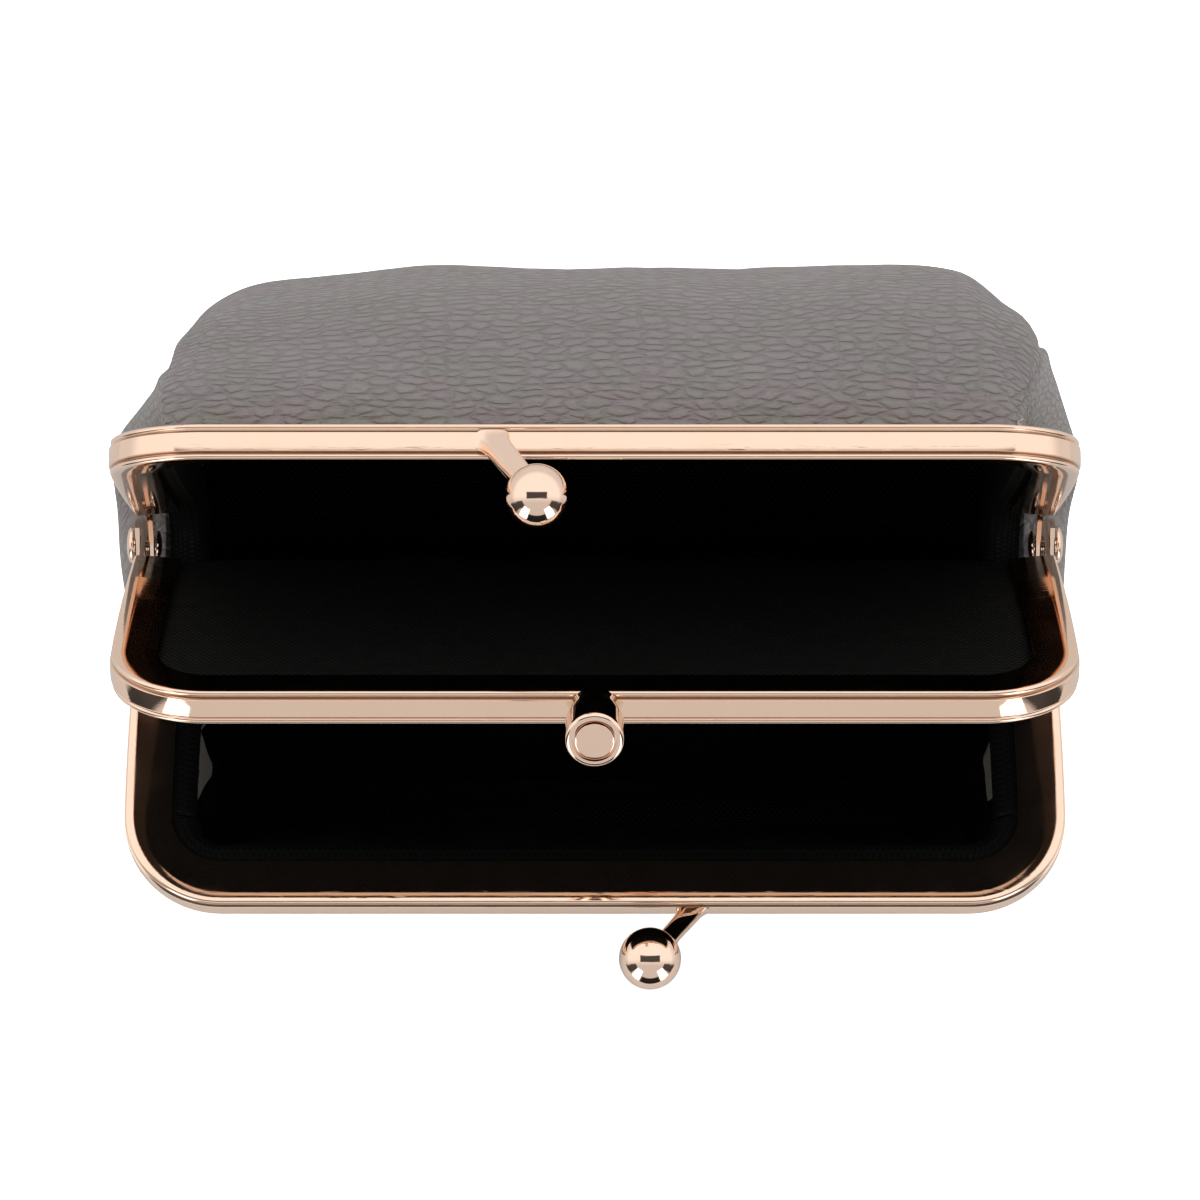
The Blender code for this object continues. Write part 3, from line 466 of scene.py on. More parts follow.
# Kiss-lock clasps
# Each is one casting, soldered on its bar: a flat tapered arm leans over the middle frame and ends in a ball.
# The rear and front balls snap past the post on opposite sides.
cast = rose_gold("rose gold casting", (0.94, 0.71, 0.58), (0.90, 0.66, 0.52), 0.03)
BALL_RADIUS = 0.0039
ARM_SIDES, ARM_BLUNTNESS = 32, 0.55
for clasp_name, layer in (("rear_clasp", 1), ("front_clasp", -1)):
    foot = np.array((-layer * 0.0124, layer * PITCH, REACH + 0.00005))
    ball = np.array((-layer * 0.0069, -layer * 0.0037, REACH + 0.0093))
    arm_rings = []
    for share in (0, 0.02, 0.05, 0.1, 0.2, 0.3, 0.4, 0.5, 0.6, 0.7, 0.78):
        centre = foot + (ball - foot) * share
        flare = 1 + 0.25 * (1 - min(1, share / 0.12)) ** 2 + 0.18 * max(0, (share - 0.55) / 0.23) ** 2
        long = (0.0017 - 0.0003 * share) * flare
        deep = (0.00115 - 0.0001 * share) * flare
        ring = []
        for i in range(ARM_SIDES):
            c, s = cos(2 * pi * i / ARM_SIDES), sin(2 * pi * i / ARM_SIDES)
            across = long * abs(c) ** ARM_BLUNTNESS * np.sign(c)
            ring.append(centre + np.array((across, deep * abs(s) ** ARM_BLUNTNESS * np.sign(s), 0)))
        arm_rings.append(ring)
    knob_profile = [(BALL_RADIUS * sin(pi * k / 28), -BALL_RADIUS * cos(pi * k / 28)) for k in range(29)]
    knob_profile[0], knob_profile[-1] = (0, -BALL_RADIUS), (0, BALL_RADIUS)
    knob, knob_faces = turned(knob_profile, 56)
    clasp = piece(clasp_name + "_casting", [skin(arm_rings), (knob + ball, knob_faces)], cast,
                  degrees=SWING[layer])
    hand_over(clasp, clasp_name, BODY[layer])

# Catch post and its button
# A turned post stands on the middle bar. A flat round button with a dark line round it closes its end.
post_top = REACH + 0.0088
post_base = REACH + 0.0001
POST_FOOT, POST_RADIUS, RING_RADIUS, RECESS = 0.0030, 0.0036, 0.00275, 0.0009
ROUNDING = POST_RADIUS - POST_FOOT
post_profile = [(0, post_base), (POST_FOOT, post_base)]
post_profile += [(POST_FOOT + ROUNDING * t * t * (3 - 2 * t), post_base + 0.0003 + 0.0040 * t)
                 for t in np.linspace(0, 1, 9)]
post_profile += [(POST_RADIUS, post_top - RECESS)]
post_profile += [(POST_FOOT + ROUNDING * cos(a), post_top + ROUNDING * (sin(a) - 1))
                 for a in map(radians, (5, 20, 35, 50, 65, 80, 90))]
post_profile += [(RING_RADIUS, post_top), (RING_RADIUS, post_top - RECESS), (0, post_top - RECESS)]
post = piece("catch_post_turning", [turned(post_profile, 64)], cast, degrees=SWING[0])
hand_over(post, "catch_post", "middle_leaf")
button_profile = [(0, post_top - 0.0006), (0.0024, post_top - 0.0006), (0.0024, post_top + 0.00002),
                  (0.00236, post_top + 0.00010), (0.00225, post_top + 0.00015), (0.0012, post_top + 0.00017),
                  (0, post_top + 0.00017)]
button = piece("catch_button_disc", [turned(button_profile, 64)], cast, degrees=SWING[0])
hand_over(button, "catch_button", "middle_leaf")

# Paper cords
# Two plies of brown paper are twisted into a cord and pushed into each channel with a blade. The cord
# wedges the leather and lining edges in the glue, and shows only at the feet of the legs.
def fibrous(name, dark, light, scale, detail, roughness, relief=None):
    """A matt finish of fine fibres in two colours; relief is the bump's strength and depth in metres."""
    material, tree, shader = new_finish(name)
    fibres = noise(tree, object_place(tree), scale, detail)
    tree.links.new(mixed_colour(tree, fibres, dark, light), shader.inputs["Base Color"])
    shader.inputs["Roughness"].default_value = roughness
    if relief:
        bump = add(tree, "ShaderNodeBump", {"Strength": relief[0], "Distance": relief[1], "Height": fibres})
        tree.links.new(bump.outputs[0], shader.inputs["Normal"])
    return material


paper = fibrous("twisted paper", (0.42, 0.33, 0.22), (0.62, 0.53, 0.40), 1400.0, 5.0, 0.85, (0.6, 0.00005))


def former(name, sizes):
    """An empty Geometry Nodes tree that takes a line of points and named sizes, and ends in Set Material."""
    tree = bpy.data.node_groups.new(name, "GeometryNodeTree")
    tree.interface.new_socket("Line", in_out="INPUT", socket_type="NodeSocketGeometry")
    for size in sizes:
        tree.interface.new_socket(size, in_out="INPUT", socket_type="NodeSocketFloat")
    tree.interface.new_socket("Finish", in_out="INPUT", socket_type="NodeSocketMaterial")
    tree.interface.new_socket("Piece", in_out="OUTPUT", socket_type="NodeSocketGeometry")
    return tree, tree.nodes.new("NodeGroupInput").outputs, tree.nodes.new("NodeGroupOutput").inputs


def closed_off(tree, mesh, finish, output):
    real = add(tree, "GeometryNodeRealizeInstances", {"Geometry": mesh})
    smooth = add(tree, "GeometryNodeSetShadeSmooth", {"Geometry": real.outputs[0]})
    coated = add(tree, "GeometryNodeSetMaterial", {"Geometry": smooth.outputs[0], "Material": finish})
    tree.links.new(coated.outputs[0], output)


def formed(name, lines, tree, values):
    """Runs a tree on lines of points, and gives the plain mesh object that it makes."""
    points = [tuple(p) for line in lines for p in line]
    edges, first = [], 0
    for line in lines:
        edges += [(first + i, first + i + 1) for i in range(len(line) - 1)]
        first += len(line)
    mesh = bpy.data.meshes.new(name)
    mesh.from_pydata(points, edges, [])
    obj = bpy.data.objects.new(name, mesh)
    bpy.context.collection.objects.link(obj)
    modifier = obj.modifiers.new("form", "NODES")
    modifier.node_group = tree
    for socket in tree.interface.items_tree:
        if socket.in_out == "INPUT" and socket.name in values:
            modifier[socket.identifier] = values[socket.name]
    made = bpy.data.meshes.new_from_object(obj.evaluated_get(bpy.context.evaluated_depsgraph_get()))
    obj.modifiers.remove(modifier)
    obj.data = made
    return obj


twist, taken, given = former("two twisted plies", ("Ply radius", "Twist length"))
strand = add(twist, "GeometryNodeMeshToCurve", {"Mesh": taken["Line"]})
along_strand = add(twist, "GeometryNodeSplineParameter").outputs["Length"]
turn_of_ply = times(twist, maths(twist, "DIVIDE", along_strand, taken["Twist length"]), 2 * pi)
twisted = add(twist, "GeometryNodeSetCurveTilt", {"Curve": strand.outputs[0], "Tilt": turn_of_ply})
ply = add(twist, "GeometryNodeCurvePrimitiveCircle", {"Resolution": 8, "Radius": taken["Ply radius"]})
plies = twist.nodes.new("GeometryNodeJoinGeometry")
for side in (-1, 1):
    shift = add(twist, "ShaderNodeCombineXYZ", {"X": times(twist, taken["Ply radius"], side * 0.92)})
    beside = add(twist, "GeometryNodeTransform",
                 {"Geometry": ply.outputs[0], "Translation": shift.outputs[0]})
    twist.links.new(beside.outputs[0], plies.inputs[0])
spun = add(twist, "GeometryNodeCurveToMesh", {"Curve": twisted.outputs[0], "Profile Curve": plies.outputs[0],
                                              "Fill Caps": True})
closed_off(twist, spun.outputs[0], taken["Finish"], given[0])

PLY_RADIUS, TWIST_LENGTH, CORD_DEPTH = 0.00050, 0.0052, 0.0029
cord_path = whole(rim_path(100, 40, 80, LEG_FOOT + 0.0003))
for cord_name, layer in (("rear_cord", 1), ("middle_cord", 0), ("front_cord", -1)):
    middle_line = np.stack([cord_path[:, 0] + cord_path[:, 2] * CORD_DEPTH,
                            np.full(len(cord_path), layer * PITCH),
                            cord_path[:, 1] + cord_path[:, 3] * CORD_DEPTH], axis=1)
    cord = formed(cord_name + "_twist", [swing(middle_line, SWING[layer]) + np.array(HINGE)], twist,
                  {"Ply radius": PLY_RADIUS, "Twist length": TWIST_LENGTH, "Finish": paper})
    hand_over(cord, cord_name, BODY[layer])

# Leather body
# Four pieces of pebbled grey leather, sewn inside out and turned: the rear and front panels and two
# gussets. Their upper edges are tucked in the rear and front channels, and the gussets pass under the
# hinges.
FRONT_ANGLE = MIDDLE_OPEN + FRONT_OPEN
HINGE_HEIGHT = 0.045
LEATHER, LEATHER_IN_CHANNEL = 0.0012, 0.0009
LAYER_GAP = 0.00035
TUCK, LIP = 0.0018, 0.0008
SHOULDER_STAND = 0.0037
REAR_PUFF, FRONT_PUFF, LEG_PUFF = 0.0140, 0.0130, 0.0050
BELLY_HALF_WIDTH, BELLY_REAR, BELLY_FRONT = 0.0612, 0.0365, 0.0430
LOWER_HALF_WIDTH, LOWER_REAR, LOWER_FRONT = 0.0590, 0.0345, 0.0350
BASE_HALF_WIDTH, BASE_REAR, BASE_FRONT = 0.0552, 0.0280, 0.0240
BASE_CORNER = 0.0090
FOOT_HALF_SPREAD = 0.0097
NARROWS_FROM = 0.0050
EDGE_LIFT = 0.0004
FINE_BAR, FINE_CORNER, FINE_LEG, FINE_HINGE = 44, 22, 26, 20
FINE_SPANS = (4, 12, 10, 40, 40, 18)


def puff_path(drop, inset, corner):
    """The right half of the line of the puffed leather beside a frame: the bar lowered by the drop, the legs
    drawn in by the inset at their tops, and its own corner radius."""
    half, top = HALF_WIDTH - inset, REACH - drop
    points = [((half - corner) * i / FINE_BAR, top, 0, 0) for i in range(FINE_BAR)]
    for i in range(FINE_CORNER):
        a = pi / 2 * i / FINE_CORNER
        points.append((half - corner + corner * sin(a), top - corner + corner * cos(a), 0, 0))
    for i in range(FINE_LEG + 1):
        share = 1 - i / FINE_LEG
        z = LEG_FOOT + (top - corner - LEG_FOOT) * share
        points.append((HALF_WIDTH - LEG_TAPER * (1 - sin(pi / 2 * z / LEG_TOP)) - inset * share, z, 0, 0))
    return np.array(points)


def frame_loop(rear_path, front_path, depth, rear_stand, front_stand, foot_stand):
    """Half a guide loop of the leather that follows the frames: down the rear path, round under the hinge and
    up the front path. The stands are out from the hinge plane, at the bars and at the legs' feet."""
    def stood_off(path, stand):
        x, z, nx, nz = path.T
        share = np.minimum(1, (z - LEG_FOOT) / (LEG_TOP - LEG_FOOT))
        return np.stack([x + nx * depth, foot_stand + (stand - foot_stand) * share, z + nz * depth], axis=1)

    rear = stood_off(rear_path, rear_stand)
    front = swing(stood_off(front_path, front_stand) * (1, -1, 1), FRONT_ANGLE)[::-1]
    reach = (rear[-1][1] - front[0][1]) / sin(radians(FRONT_ANGLE))
    turn = np.array((rear[-1][0], rear[-1][1], front[0][2] - reach * cos(radians(FRONT_ANGLE))))
    t = np.linspace(0, 1, FINE_HINGE + 1)[1:-1, None]
    under = rear[-1] * (1 - t) ** 2 + turn * (2 * t * (1 - t)) + front[0] * t * t
    return np.concatenate([rear, under, front])


def plan_loop(half_width, rear, front, along, deep, corner, narrowing, rear_z, side_z, front_z):
    """Half a guide loop of the leather in plan: rounded corners, a rear end drawn in by the narrowing, and a
    height that eases from rear to side to front."""
    rear_half = half_width - narrowing
    points = [((rear_half - along) * i / FINE_BAR, rear) for i in range(FINE_BAR)]
    for i in range(FINE_CORNER):
        a = pi / 2 * i / FINE_CORNER
        points.append((rear_half - along + along * sin(a), rear - deep + deep * cos(a)))
    runs = ((rear - deep, FOOT_HALF_SPREAD, FINE_LEG), (FOOT_HALF_SPREAD, -FOOT_HALF_SPREAD, FINE_HINGE),
            (-FOOT_HALF_SPREAD, corner - front, FINE_LEG + 1))
    for start, end, steps in runs:
        for i in range(steps):
            y = start + (end - start) * i / min(steps, FINE_LEG)
            share = max(0, (y - NARROWS_FROM) / (rear - deep - NARROWS_FROM))
            points.append((half_width - narrowing * share ** 2, y))
    for i in range(1, FINE_CORNER + 1):
        a = pi / 2 * i / FINE_CORNER
        points.append((half_width - corner + corner * cos(a), -front + corner - corner * sin(a)))
    for i in range(1, FINE_BAR + 1):
        points.append(((half_width - corner) * (1 - i / FINE_BAR), -front))
    x, y = np.array(points).T
    share = (rear - y) / (rear + front)
    end_z = np.where(share < 0.5, rear_z, front_z)
    z = end_z + (side_z - end_z) * (1 - np.cos(2 * pi * share)) / 2
    return np.stack([x, y, z - HINGE_HEIGHT], axis=1)


def spline(guides, spans):
    """A smooth surface through the guide loops, with its speed set by the distance between them."""
    g = np.array(guides)
    chord = np.linalg.norm(np.diff(g, axis=0), axis=2, keepdims=True)
    slope = np.diff(g, axis=0) / chord
    mean = (slope[:-1] * chord[1:] + slope[1:] * chord[:-1]) / (chord[1:] + chord[:-1])
    slope = np.concatenate([slope[:1], mean, slope[-1:]])
    rows = []
    for k, steps in enumerate(spans):
        for t in np.arange(steps) / steps:
            rise = t * t * (3 - 2 * t)
            rows.append(g[k] * (1 - rise) + g[k + 1] * rise
                        + chord[k] * (slope[k] * (t * (1 - t) ** 2) - slope[k + 1] * (t * t * (1 - t))))
    rows.append(g[-1])
    return np.array(rows)


def inward_normals(grid):
    around = np.roll(grid, -1, axis=1) - np.roll(grid, 1, axis=1)
    normal = np.cross(around, np.gradient(grid, axis=0))
    normal /= np.linalg.norm(normal, axis=2, keepdims=True)
    if np.sum(normal[PUFF_ROW] * (np.array((0, -0.011, -0.015)) - grid[PUFF_ROW])) < 0:
        normal = -normal
    return normal


def smooth(value, low, high):
    t = np.clip((value - low) / (high - low), 0, 1)
    return t * t * (3 - 2 * t)


MOUTH_ROW, TURN_ROW, PUFF_ROW, BELLY_ROW = (sum(FINE_SPANS[:k]) for k in (1, 2, 3, 4))
LAST_ROW = sum(FINE_SPANS)
face_stand = PITCH + HALF_CHANNEL - SHEET_METAL - 0.0005
turn_stand = PITCH + SHOULDER_STAND
rim = rim_path(FINE_BAR, FINE_CORNER, FINE_LEG)
rear_puff = puff_path(0.0115, 0.0060, 0.0090)
front_puff = puff_path(0.0060, 0.0015, 0.0105)
BODY_CORNERS = 0.0170, 0.0095, 0.0130
guides = [
    frame_loop(rim, rim, CHANNEL_DEPTH - TUCK, face_stand, face_stand, face_stand),
    frame_loop(rim, rim, CHANNEL_DEPTH + LIP, face_stand, face_stand, face_stand),
    frame_loop(rim, rim, CHANNEL_DEPTH + LIP, turn_stand, turn_stand, turn_stand),
    frame_loop(rear_puff, front_puff, 0, PITCH + REAR_PUFF, PITCH + FRONT_PUFF, PITCH + LEG_PUFF),
    plan_loop(BELLY_HALF_WIDTH, BELLY_REAR, BELLY_FRONT, *BODY_CORNERS, 0.0072, 0.0460, 0.0255, 0.0290),
    plan_loop(LOWER_HALF_WIDTH, LOWER_REAR, LOWER_FRONT, *BODY_CORNERS, 0.0057, 0.0130, 0.0130, 0.0130),
    plan_loop(BASE_HALF_WIDTH, BASE_REAR, BASE_FRONT, BASE_CORNER, BASE_CORNER, BASE_CORNER, 0,
              EDGE_LIFT, EDGE_LIFT, EDGE_LIFT),
]
loops = [np.concatenate([half, half[-2:0:-1] * (-1, 1, 1)]) for half in guides]
plain_grid = spline(loops, FINE_SPANS)

# The front frame is open, so the leather below it is slack and lies in two soft folds across the front.
x, y, z = np.moveaxis(plain_grid, 2, 0)
slack = smooth(-y, FOOT_HALF_SPREAD, FOOT_HALF_SPREAD + BELLY_FRONT / 2)
slack *= smooth(z + HINGE_HEIGHT, 0.005, 0.010)
slack *= smooth(np.arange(len(plain_grid))[:, None], PUFF_ROW, BELLY_ROW)
sway = 0.0018 * np.sin(2 * pi * x / 0.085)
front_folds = 0.0010 * slack * np.sin(2 * pi * (z + HINGE_HEIGHT + sway - 0.0293) / 0.015)
body_grid = plain_grid - inward_normals(plain_grid) * front_folds[..., None]
inward = inward_normals(body_grid)
STATIONS = body_grid.shape[1]
HALF_END = FINE_BAR + FINE_CORNER
SIDE = 2 * FINE_LEG + FINE_HINGE
SEAMS = (HALF_END, HALF_END + SIDE, STATIONS - HALF_END - SIDE, STATIONS - HALF_END)

# Lengths along the leather, for its grain, seams and folds: from each panel's middle, and down from its top.
step_round = np.linalg.norm(np.roll(body_grid, -1, axis=1) - body_grid, axis=2)
round_length = np.concatenate([np.zeros((len(body_grid), 1)), np.cumsum(step_round, axis=1)[:, :-1]], axis=1)
step_down = np.linalg.norm(np.diff(body_grid, axis=0), axis=2)
down_length = np.concatenate([np.zeros((1, STATIONS)), np.cumsum(step_down, axis=0)])
below_mouth = down_length - down_length[MOUTH_ROW]


def from_station(station):
    """Signed length round the body from a station, row by row."""
    away = round_length - round_length[:, station:station + 1]
    full = round_length[:, -1:] + step_round[:, -1:]
    return (away + full / 2) % full - full / 2


def bell(distance, width):
    return np.exp(-(distance / width) ** 2)


# The relief stands out of the leather's plain form: soft waves, the four turned seams, the pinched pleats
# at the rear corners and wrinkles at the frame's corners.
x, y, z = np.moveaxis(body_grid, 2, 0)
out_of_channel = smooth(below_mouth, 0.0010, 0.0060)
near_floor = smooth(z + HINGE_HEIGHT, 0.0005, 0.0060)
waves = np.zeros_like(x)
rng = np.random.default_rng(7)
for wavelength, height in ((0.045, 0.00035), (0.028, 0.00022), (0.017, 0.00013), (0.009, 0.00006)):
    for _ in range(4):
        toward = rng.normal(size=3)
        toward /= np.linalg.norm(toward)
        waves += height / 2 * np.sin(2 * pi * (body_grid @ toward) / wavelength + rng.uniform(0, 2 * pi))
seams = np.zeros_like(x)
for seam in SEAMS:
    d = np.abs(from_station(seam))
    seams += -0.0007 * bell(d, 0.0008) + 0.0003 * bell(d - 0.0022, 0.0013)
pleats = np.zeros_like(x)
for seam, depth_in, level in ((SEAMS[0], 0.0026, 0.0256), (SEAMS[3], 0.0028, 0.0228)):
    d = from_station(seam)
    seen_level = body_grid[TURN_ROW:BELLY_ROW, seam] @ np.array(picture_up)
    centre = down_length[TURN_ROW + np.argmin(np.abs(seen_level - level)), seam]
    pleats -= depth_in * bell(d, 0.0016) * bell(down_length - centre, 0.0026)
    pleats += 0.0006 * bell(np.abs(d) - 0.0035, 0.0020) * bell(down_length - centre, 0.0060)
corner_pull = np.zeros_like(x)
for seam in SEAMS:
    near = bell(from_station(seam), 0.020) * bell(below_mouth - 0.006, 0.010)
    ripple = np.sin(2 * pi * (below_mouth / 0.0021 + 0.35 * np.sin(round_length / 0.004)))
    corner_pull += 0.00013 * near * ripple
# The slack leather isn't even: the back is lower on its left, a lobe swells past the right pleat, and the
# sides draw in beside the open front frame.
on_rear = smooth(y, 0.012, 0.022)
right_swell = 0.0008 * smooth(x, 0.020, 0.038) * smooth(x, 0.052, 0.046)
uneven = on_rear * (-0.0020 * smooth(-x, 0.016, 0.048) + right_swell)
on_side = smooth(np.abs(x), 0.050, 0.056)
uneven += on_side * (0.0017 * bell(y - 0.0215, 0.0055) * (x > 0) + 0.0008 * bell(y, 0.007) * (x < 0)
                     - 0.0016 * smooth(-y, 0.006, 0.013) * smooth(-y, 0.040, 0.030))
relief = (waves + seams + pleats + uneven) * out_of_channel * near_floor
relief_leather = relief + corner_pull * out_of_channel


def shell(name, outer, inner, lengths, finish, degrees=40):
    """A sheet as a closed mesh between two grids of points, with its lengths in metres as the UV map."""
    rows, columns = outer.shape[:2]
    index = np.arange(rows * columns).reshape(rows, columns)
    quads = np.stack([index[:-1, :-1], index[:-1, 1:], index[1:, 1:], index[1:, :-1]], axis=-1).reshape(-1, 4)
    far = quads[:, ::-1] + rows * columns
    edge_line = np.concatenate([index[0, :], index[1:, -1], index[-1, -2::-1], index[-2:0:-1, 0]])
    following = np.roll(edge_line, -1)
    rim = np.stack([following, edge_line, edge_line + rows * columns, following + rows * columns], axis=-1)
    faces = np.concatenate([quads, far, rim])
    vertices = np.concatenate([outer.reshape(-1, 3), inner.reshape(-1, 3)]) + np.array(HINGE)
    first = quads[len(quads) // 2]
    cross = np.cross(vertices[first[1]] - vertices[first[0]], vertices[first[3]] - vertices[first[0]])
    if cross @ (vertices[first[0]] - vertices[first[0] + rows * columns]) < 0:
        faces = faces[:, ::-1]
    mesh = bpy.data.meshes.new(name)
    mesh.from_pydata(vertices.tolist(), [], faces.tolist())
    layer_uv = mesh.uv_layers.new(name="lengths")
    flat = np.tile(lengths.reshape(-1, 2), (2, 1))
    layer_uv.data.foreach_set("uv", flat[faces.ravel()].astype(np.float32).ravel())
    mesh.shade_smooth()
    mesh.set_sharp_from_angle(angle=radians(degrees))
    obj = bpy.data.objects.new(name, mesh)
    bpy.context.collection.objects.link(obj)
    mesh.materials.append(finish)
    return obj


PANELS = {
    "rear": np.arange(-HALF_END, HALF_END + 1) % STATIONS,
    "right": np.arange(HALF_END, HALF_END + SIDE + 1) % STATIONS,
    "front": np.arange(HALF_END + SIDE, 3 * HALF_END + SIDE + 1) % STATIONS,
    "left": np.arange(3 * HALF_END + SIDE, STATIONS - HALF_END + 1) % STATIONS,
}
PANEL_MIDDLE = {"rear": 0, "right": HALF_END + SIDE // 2, "front": STATIONS // 2,
                "left": STATIONS - HALF_END - SIDE // 2}


def panel_sheet(name, panel, outer_depth, inner_depth, finish, bulge, first_row=0, foot=EDGE_LIFT, face=None):
    """A sheet of one panel between two depths below the leather's outer face, or below another face's points
    and normals. A depth is (in the channel, in the body); bulge is the relief that lifts it; foot is its
    lower edge over the floor."""
    columns = PANELS[panel]
    grid, normals = face or (body_grid, inward)
    heights = grid[:, columns[0], 2] + HINGE_HEIGHT
    last = LAST_ROW if foot <= EDGE_LIFT else int(np.argmax(heights < foot)) - 1
    rows = slice(first_row, last + 1)
    share = np.minimum(1, np.arange(len(grid)) / PUFF_ROW)[rows, None, None]
    layers = []
    for in_channel, in_body in (outer_depth, inner_depth):
        depth = in_channel + (in_body - in_channel) * share - bulge[rows][:, columns, None]
        layer = grid[rows][:, columns] + normals[rows][:, columns] * depth
        for end, nxt in ((0, 1), (-1, -2)):
            step = layer[:, nxt] - layer[:, end]
            layer[:, end] += step * (0.00015 / np.linalg.norm(step, axis=1, keepdims=True))
        layers.append(layer)
    lengths = np.stack([from_station(PANEL_MIDDLE[panel]), down_length], axis=-1)[rows][:, columns]
    return shell(name, *layers, lengths, finish)


# The front half of each sheet is cut by planes along the hinge, through these (y, z) points, into wedges.
R1, R2, R3 = (0.0042, -0.0010), (0.0050, -0.0134), (-0.0245, -0.0450)
M1, M2, M3 = (0.0015, -0.0032), (-0.0053, -0.0129), (-0.0403, -0.0261)
F1, F2, F3 = (-0.0080, -0.0030), (-0.0156, -0.00515), (-0.0487, 0.00267)
CUTS = ((R1, R2), (R2, R3), (M1, M2), (M2, M3), (R2, M2), (M2, F2), (F1, M2), (F2, M3), (M1, R2), (M2, R3))
UPPER, LOWER = ("middle_leaf", "front_leaf"), ("bag", "middle_leaf")
ON_PLANE = 1e-6
SMALL_HOLE_SIDES = 6
LONGEST_JOIN = 0.0025
# Each wedge: bodies, the edge that turns alike, the corner that turns otherwise, and if the edge turns fully.
WEDGES = {
    "channel_side": (UPPER, (F2, F3), M3, True),
    "middle_side": (UPPER, (M2, M3), F2, False),
    "foot_upper": (UPPER, (F1, F2), M2, True),
    "foot_middle": (UPPER, (M1, M2), F1, False),
    "belly_side": (LOWER, (M2, M3), R3, True),
    "base_side": (LOWER, (R2, R3), M2, False),
    "under_middle": (LOWER, (M1, M2), R2, True),
    "under_rear": (LOWER, (R1, R2), M1, False),
}


def beyond(p, q, points):
    """Whether (y, z) points lie on the front side of the line from p to q."""
    return (q[0] - p[0]) * (points[:, 1] - p[1]) - (q[1] - p[1]) * (points[:, 0] - p[0]) < 0


def wedge_of(c):
    """The name of the wedge, or None for the rear, that each (y, z) point lies in."""
    front = beyond(R1, R2, c) & beyond(R2, R3, c)
    upper = beyond(M1, M2, c) & beyond(M2, M3, c)
    near_upper, near_lower = beyond(M2, F2, c), beyond(R2, M2, c)
    names = np.where(near_upper, np.where(beyond(F1, M2, c), "foot_upper", "foot_middle"),
                     np.where(beyond(F2, M3, c), "channel_side", "middle_side"))
    lower = np.where(near_lower, np.where(beyond(M1, R2, c), "under_middle", "under_rear"),
                     np.where(beyond(M2, R3, c), "belly_side", "base_side"))
    names = np.where(upper, names, lower)
    return np.where(front, names, "")


def flat_cut(obj):
    """The width, length and area of the flat piece that a sheet was cut from, by its lengths map, and whether
    its mesh is closed."""
    mesh = obj.data
    flat = np.empty(len(mesh.loops) * 2, np.float32)
    mesh.uv_layers["lengths"].data.foreach_get("uv", flat)
    width, length = np.ptp(flat.reshape(-1, 2), axis=0)
    loops_at_edge = np.zeros(len(mesh.edges), int)
    edge_of_loop = np.empty(len(mesh.loops), np.int32)
    mesh.loops.foreach_get("edge_index", edge_of_loop)
    np.add.at(loops_at_edge, edge_of_loop, 1)
    area = sum(face.area for face in mesh.polygons) / 2
    return float(width), float(length), area, bool((loops_at_edge > 1).all())


def declare_cloth(cut_parts):
    """Measures the flat piece that each part of a sheet was cut from."""
    sizes = {part: flat_cut(part) for part in cut_parts}


def close_cuts(bm):
    """Closes the strips that the cuts leave open, one cutting plane at a time, so that every cap is flat.
    Where a strip ends at another plane, its outer and inner ends are joined first. Small holes left at its
    corners are then filled. Each cap takes its place on the lengths map from the skin beside it."""
    caps = []
    for p, q in CUTS:
        point = Vector((0, p[0], p[1] + HINGE_HEIGHT))
        normal = Vector((0, p[1] - q[1], q[0] - p[0])).normalized()
        ring = dict.fromkeys(edge for edge in bm.edges if len(edge.link_faces) < 2
                             and all(abs((v.co - point).dot(normal)) < ON_PLANE for v in edge.verts))
        on_ring = dict.fromkeys(v for edge in ring for v in edge.verts)
        ends = [v for v in on_ring if sum(edge in ring for edge in v.link_edges) == 1]
        while len(ends) > 1:
            end = ends.pop()
            other = min(ends, key=lambda v: (v.co - end.co).length)
            if (other.co - end.co).length < LONGEST_JOIN:
                ends.remove(other)
                ring[bm.edges.get((end, other)) or bm.edges.new((end, other))] = None
        while ring:
            outline = list(ring.popitem()[0].verts)
            while onward := [edge for edge in outline[-1].link_edges if edge in ring]:
                ring.pop(onward[0])
                outline.append(onward[0].other_vert(outline[-1]))
            if outline[0] == outline[-1]:
                caps.append(bm.faces.new(outline[:-1]))
    rims = [edge for edge in bm.edges if edge.is_boundary]
    caps += bmesh.ops.holes_fill(bm, edges=rims, sides=SMALL_HOLE_SIDES)["faces"]
    capped = set(caps)
    lengths = bm.loops.layers.uv.get("lengths")
    for corner in (corner for cap in caps for corner in cap.loops):
        beside = [other for other in corner.vert.link_loops if other.face not in capped]
        if beside and lengths:
            corner[lengths].uv = beside[0][lengths].uv
    bmesh.ops.recalc_face_normals(bm, faces=bm.faces[:])


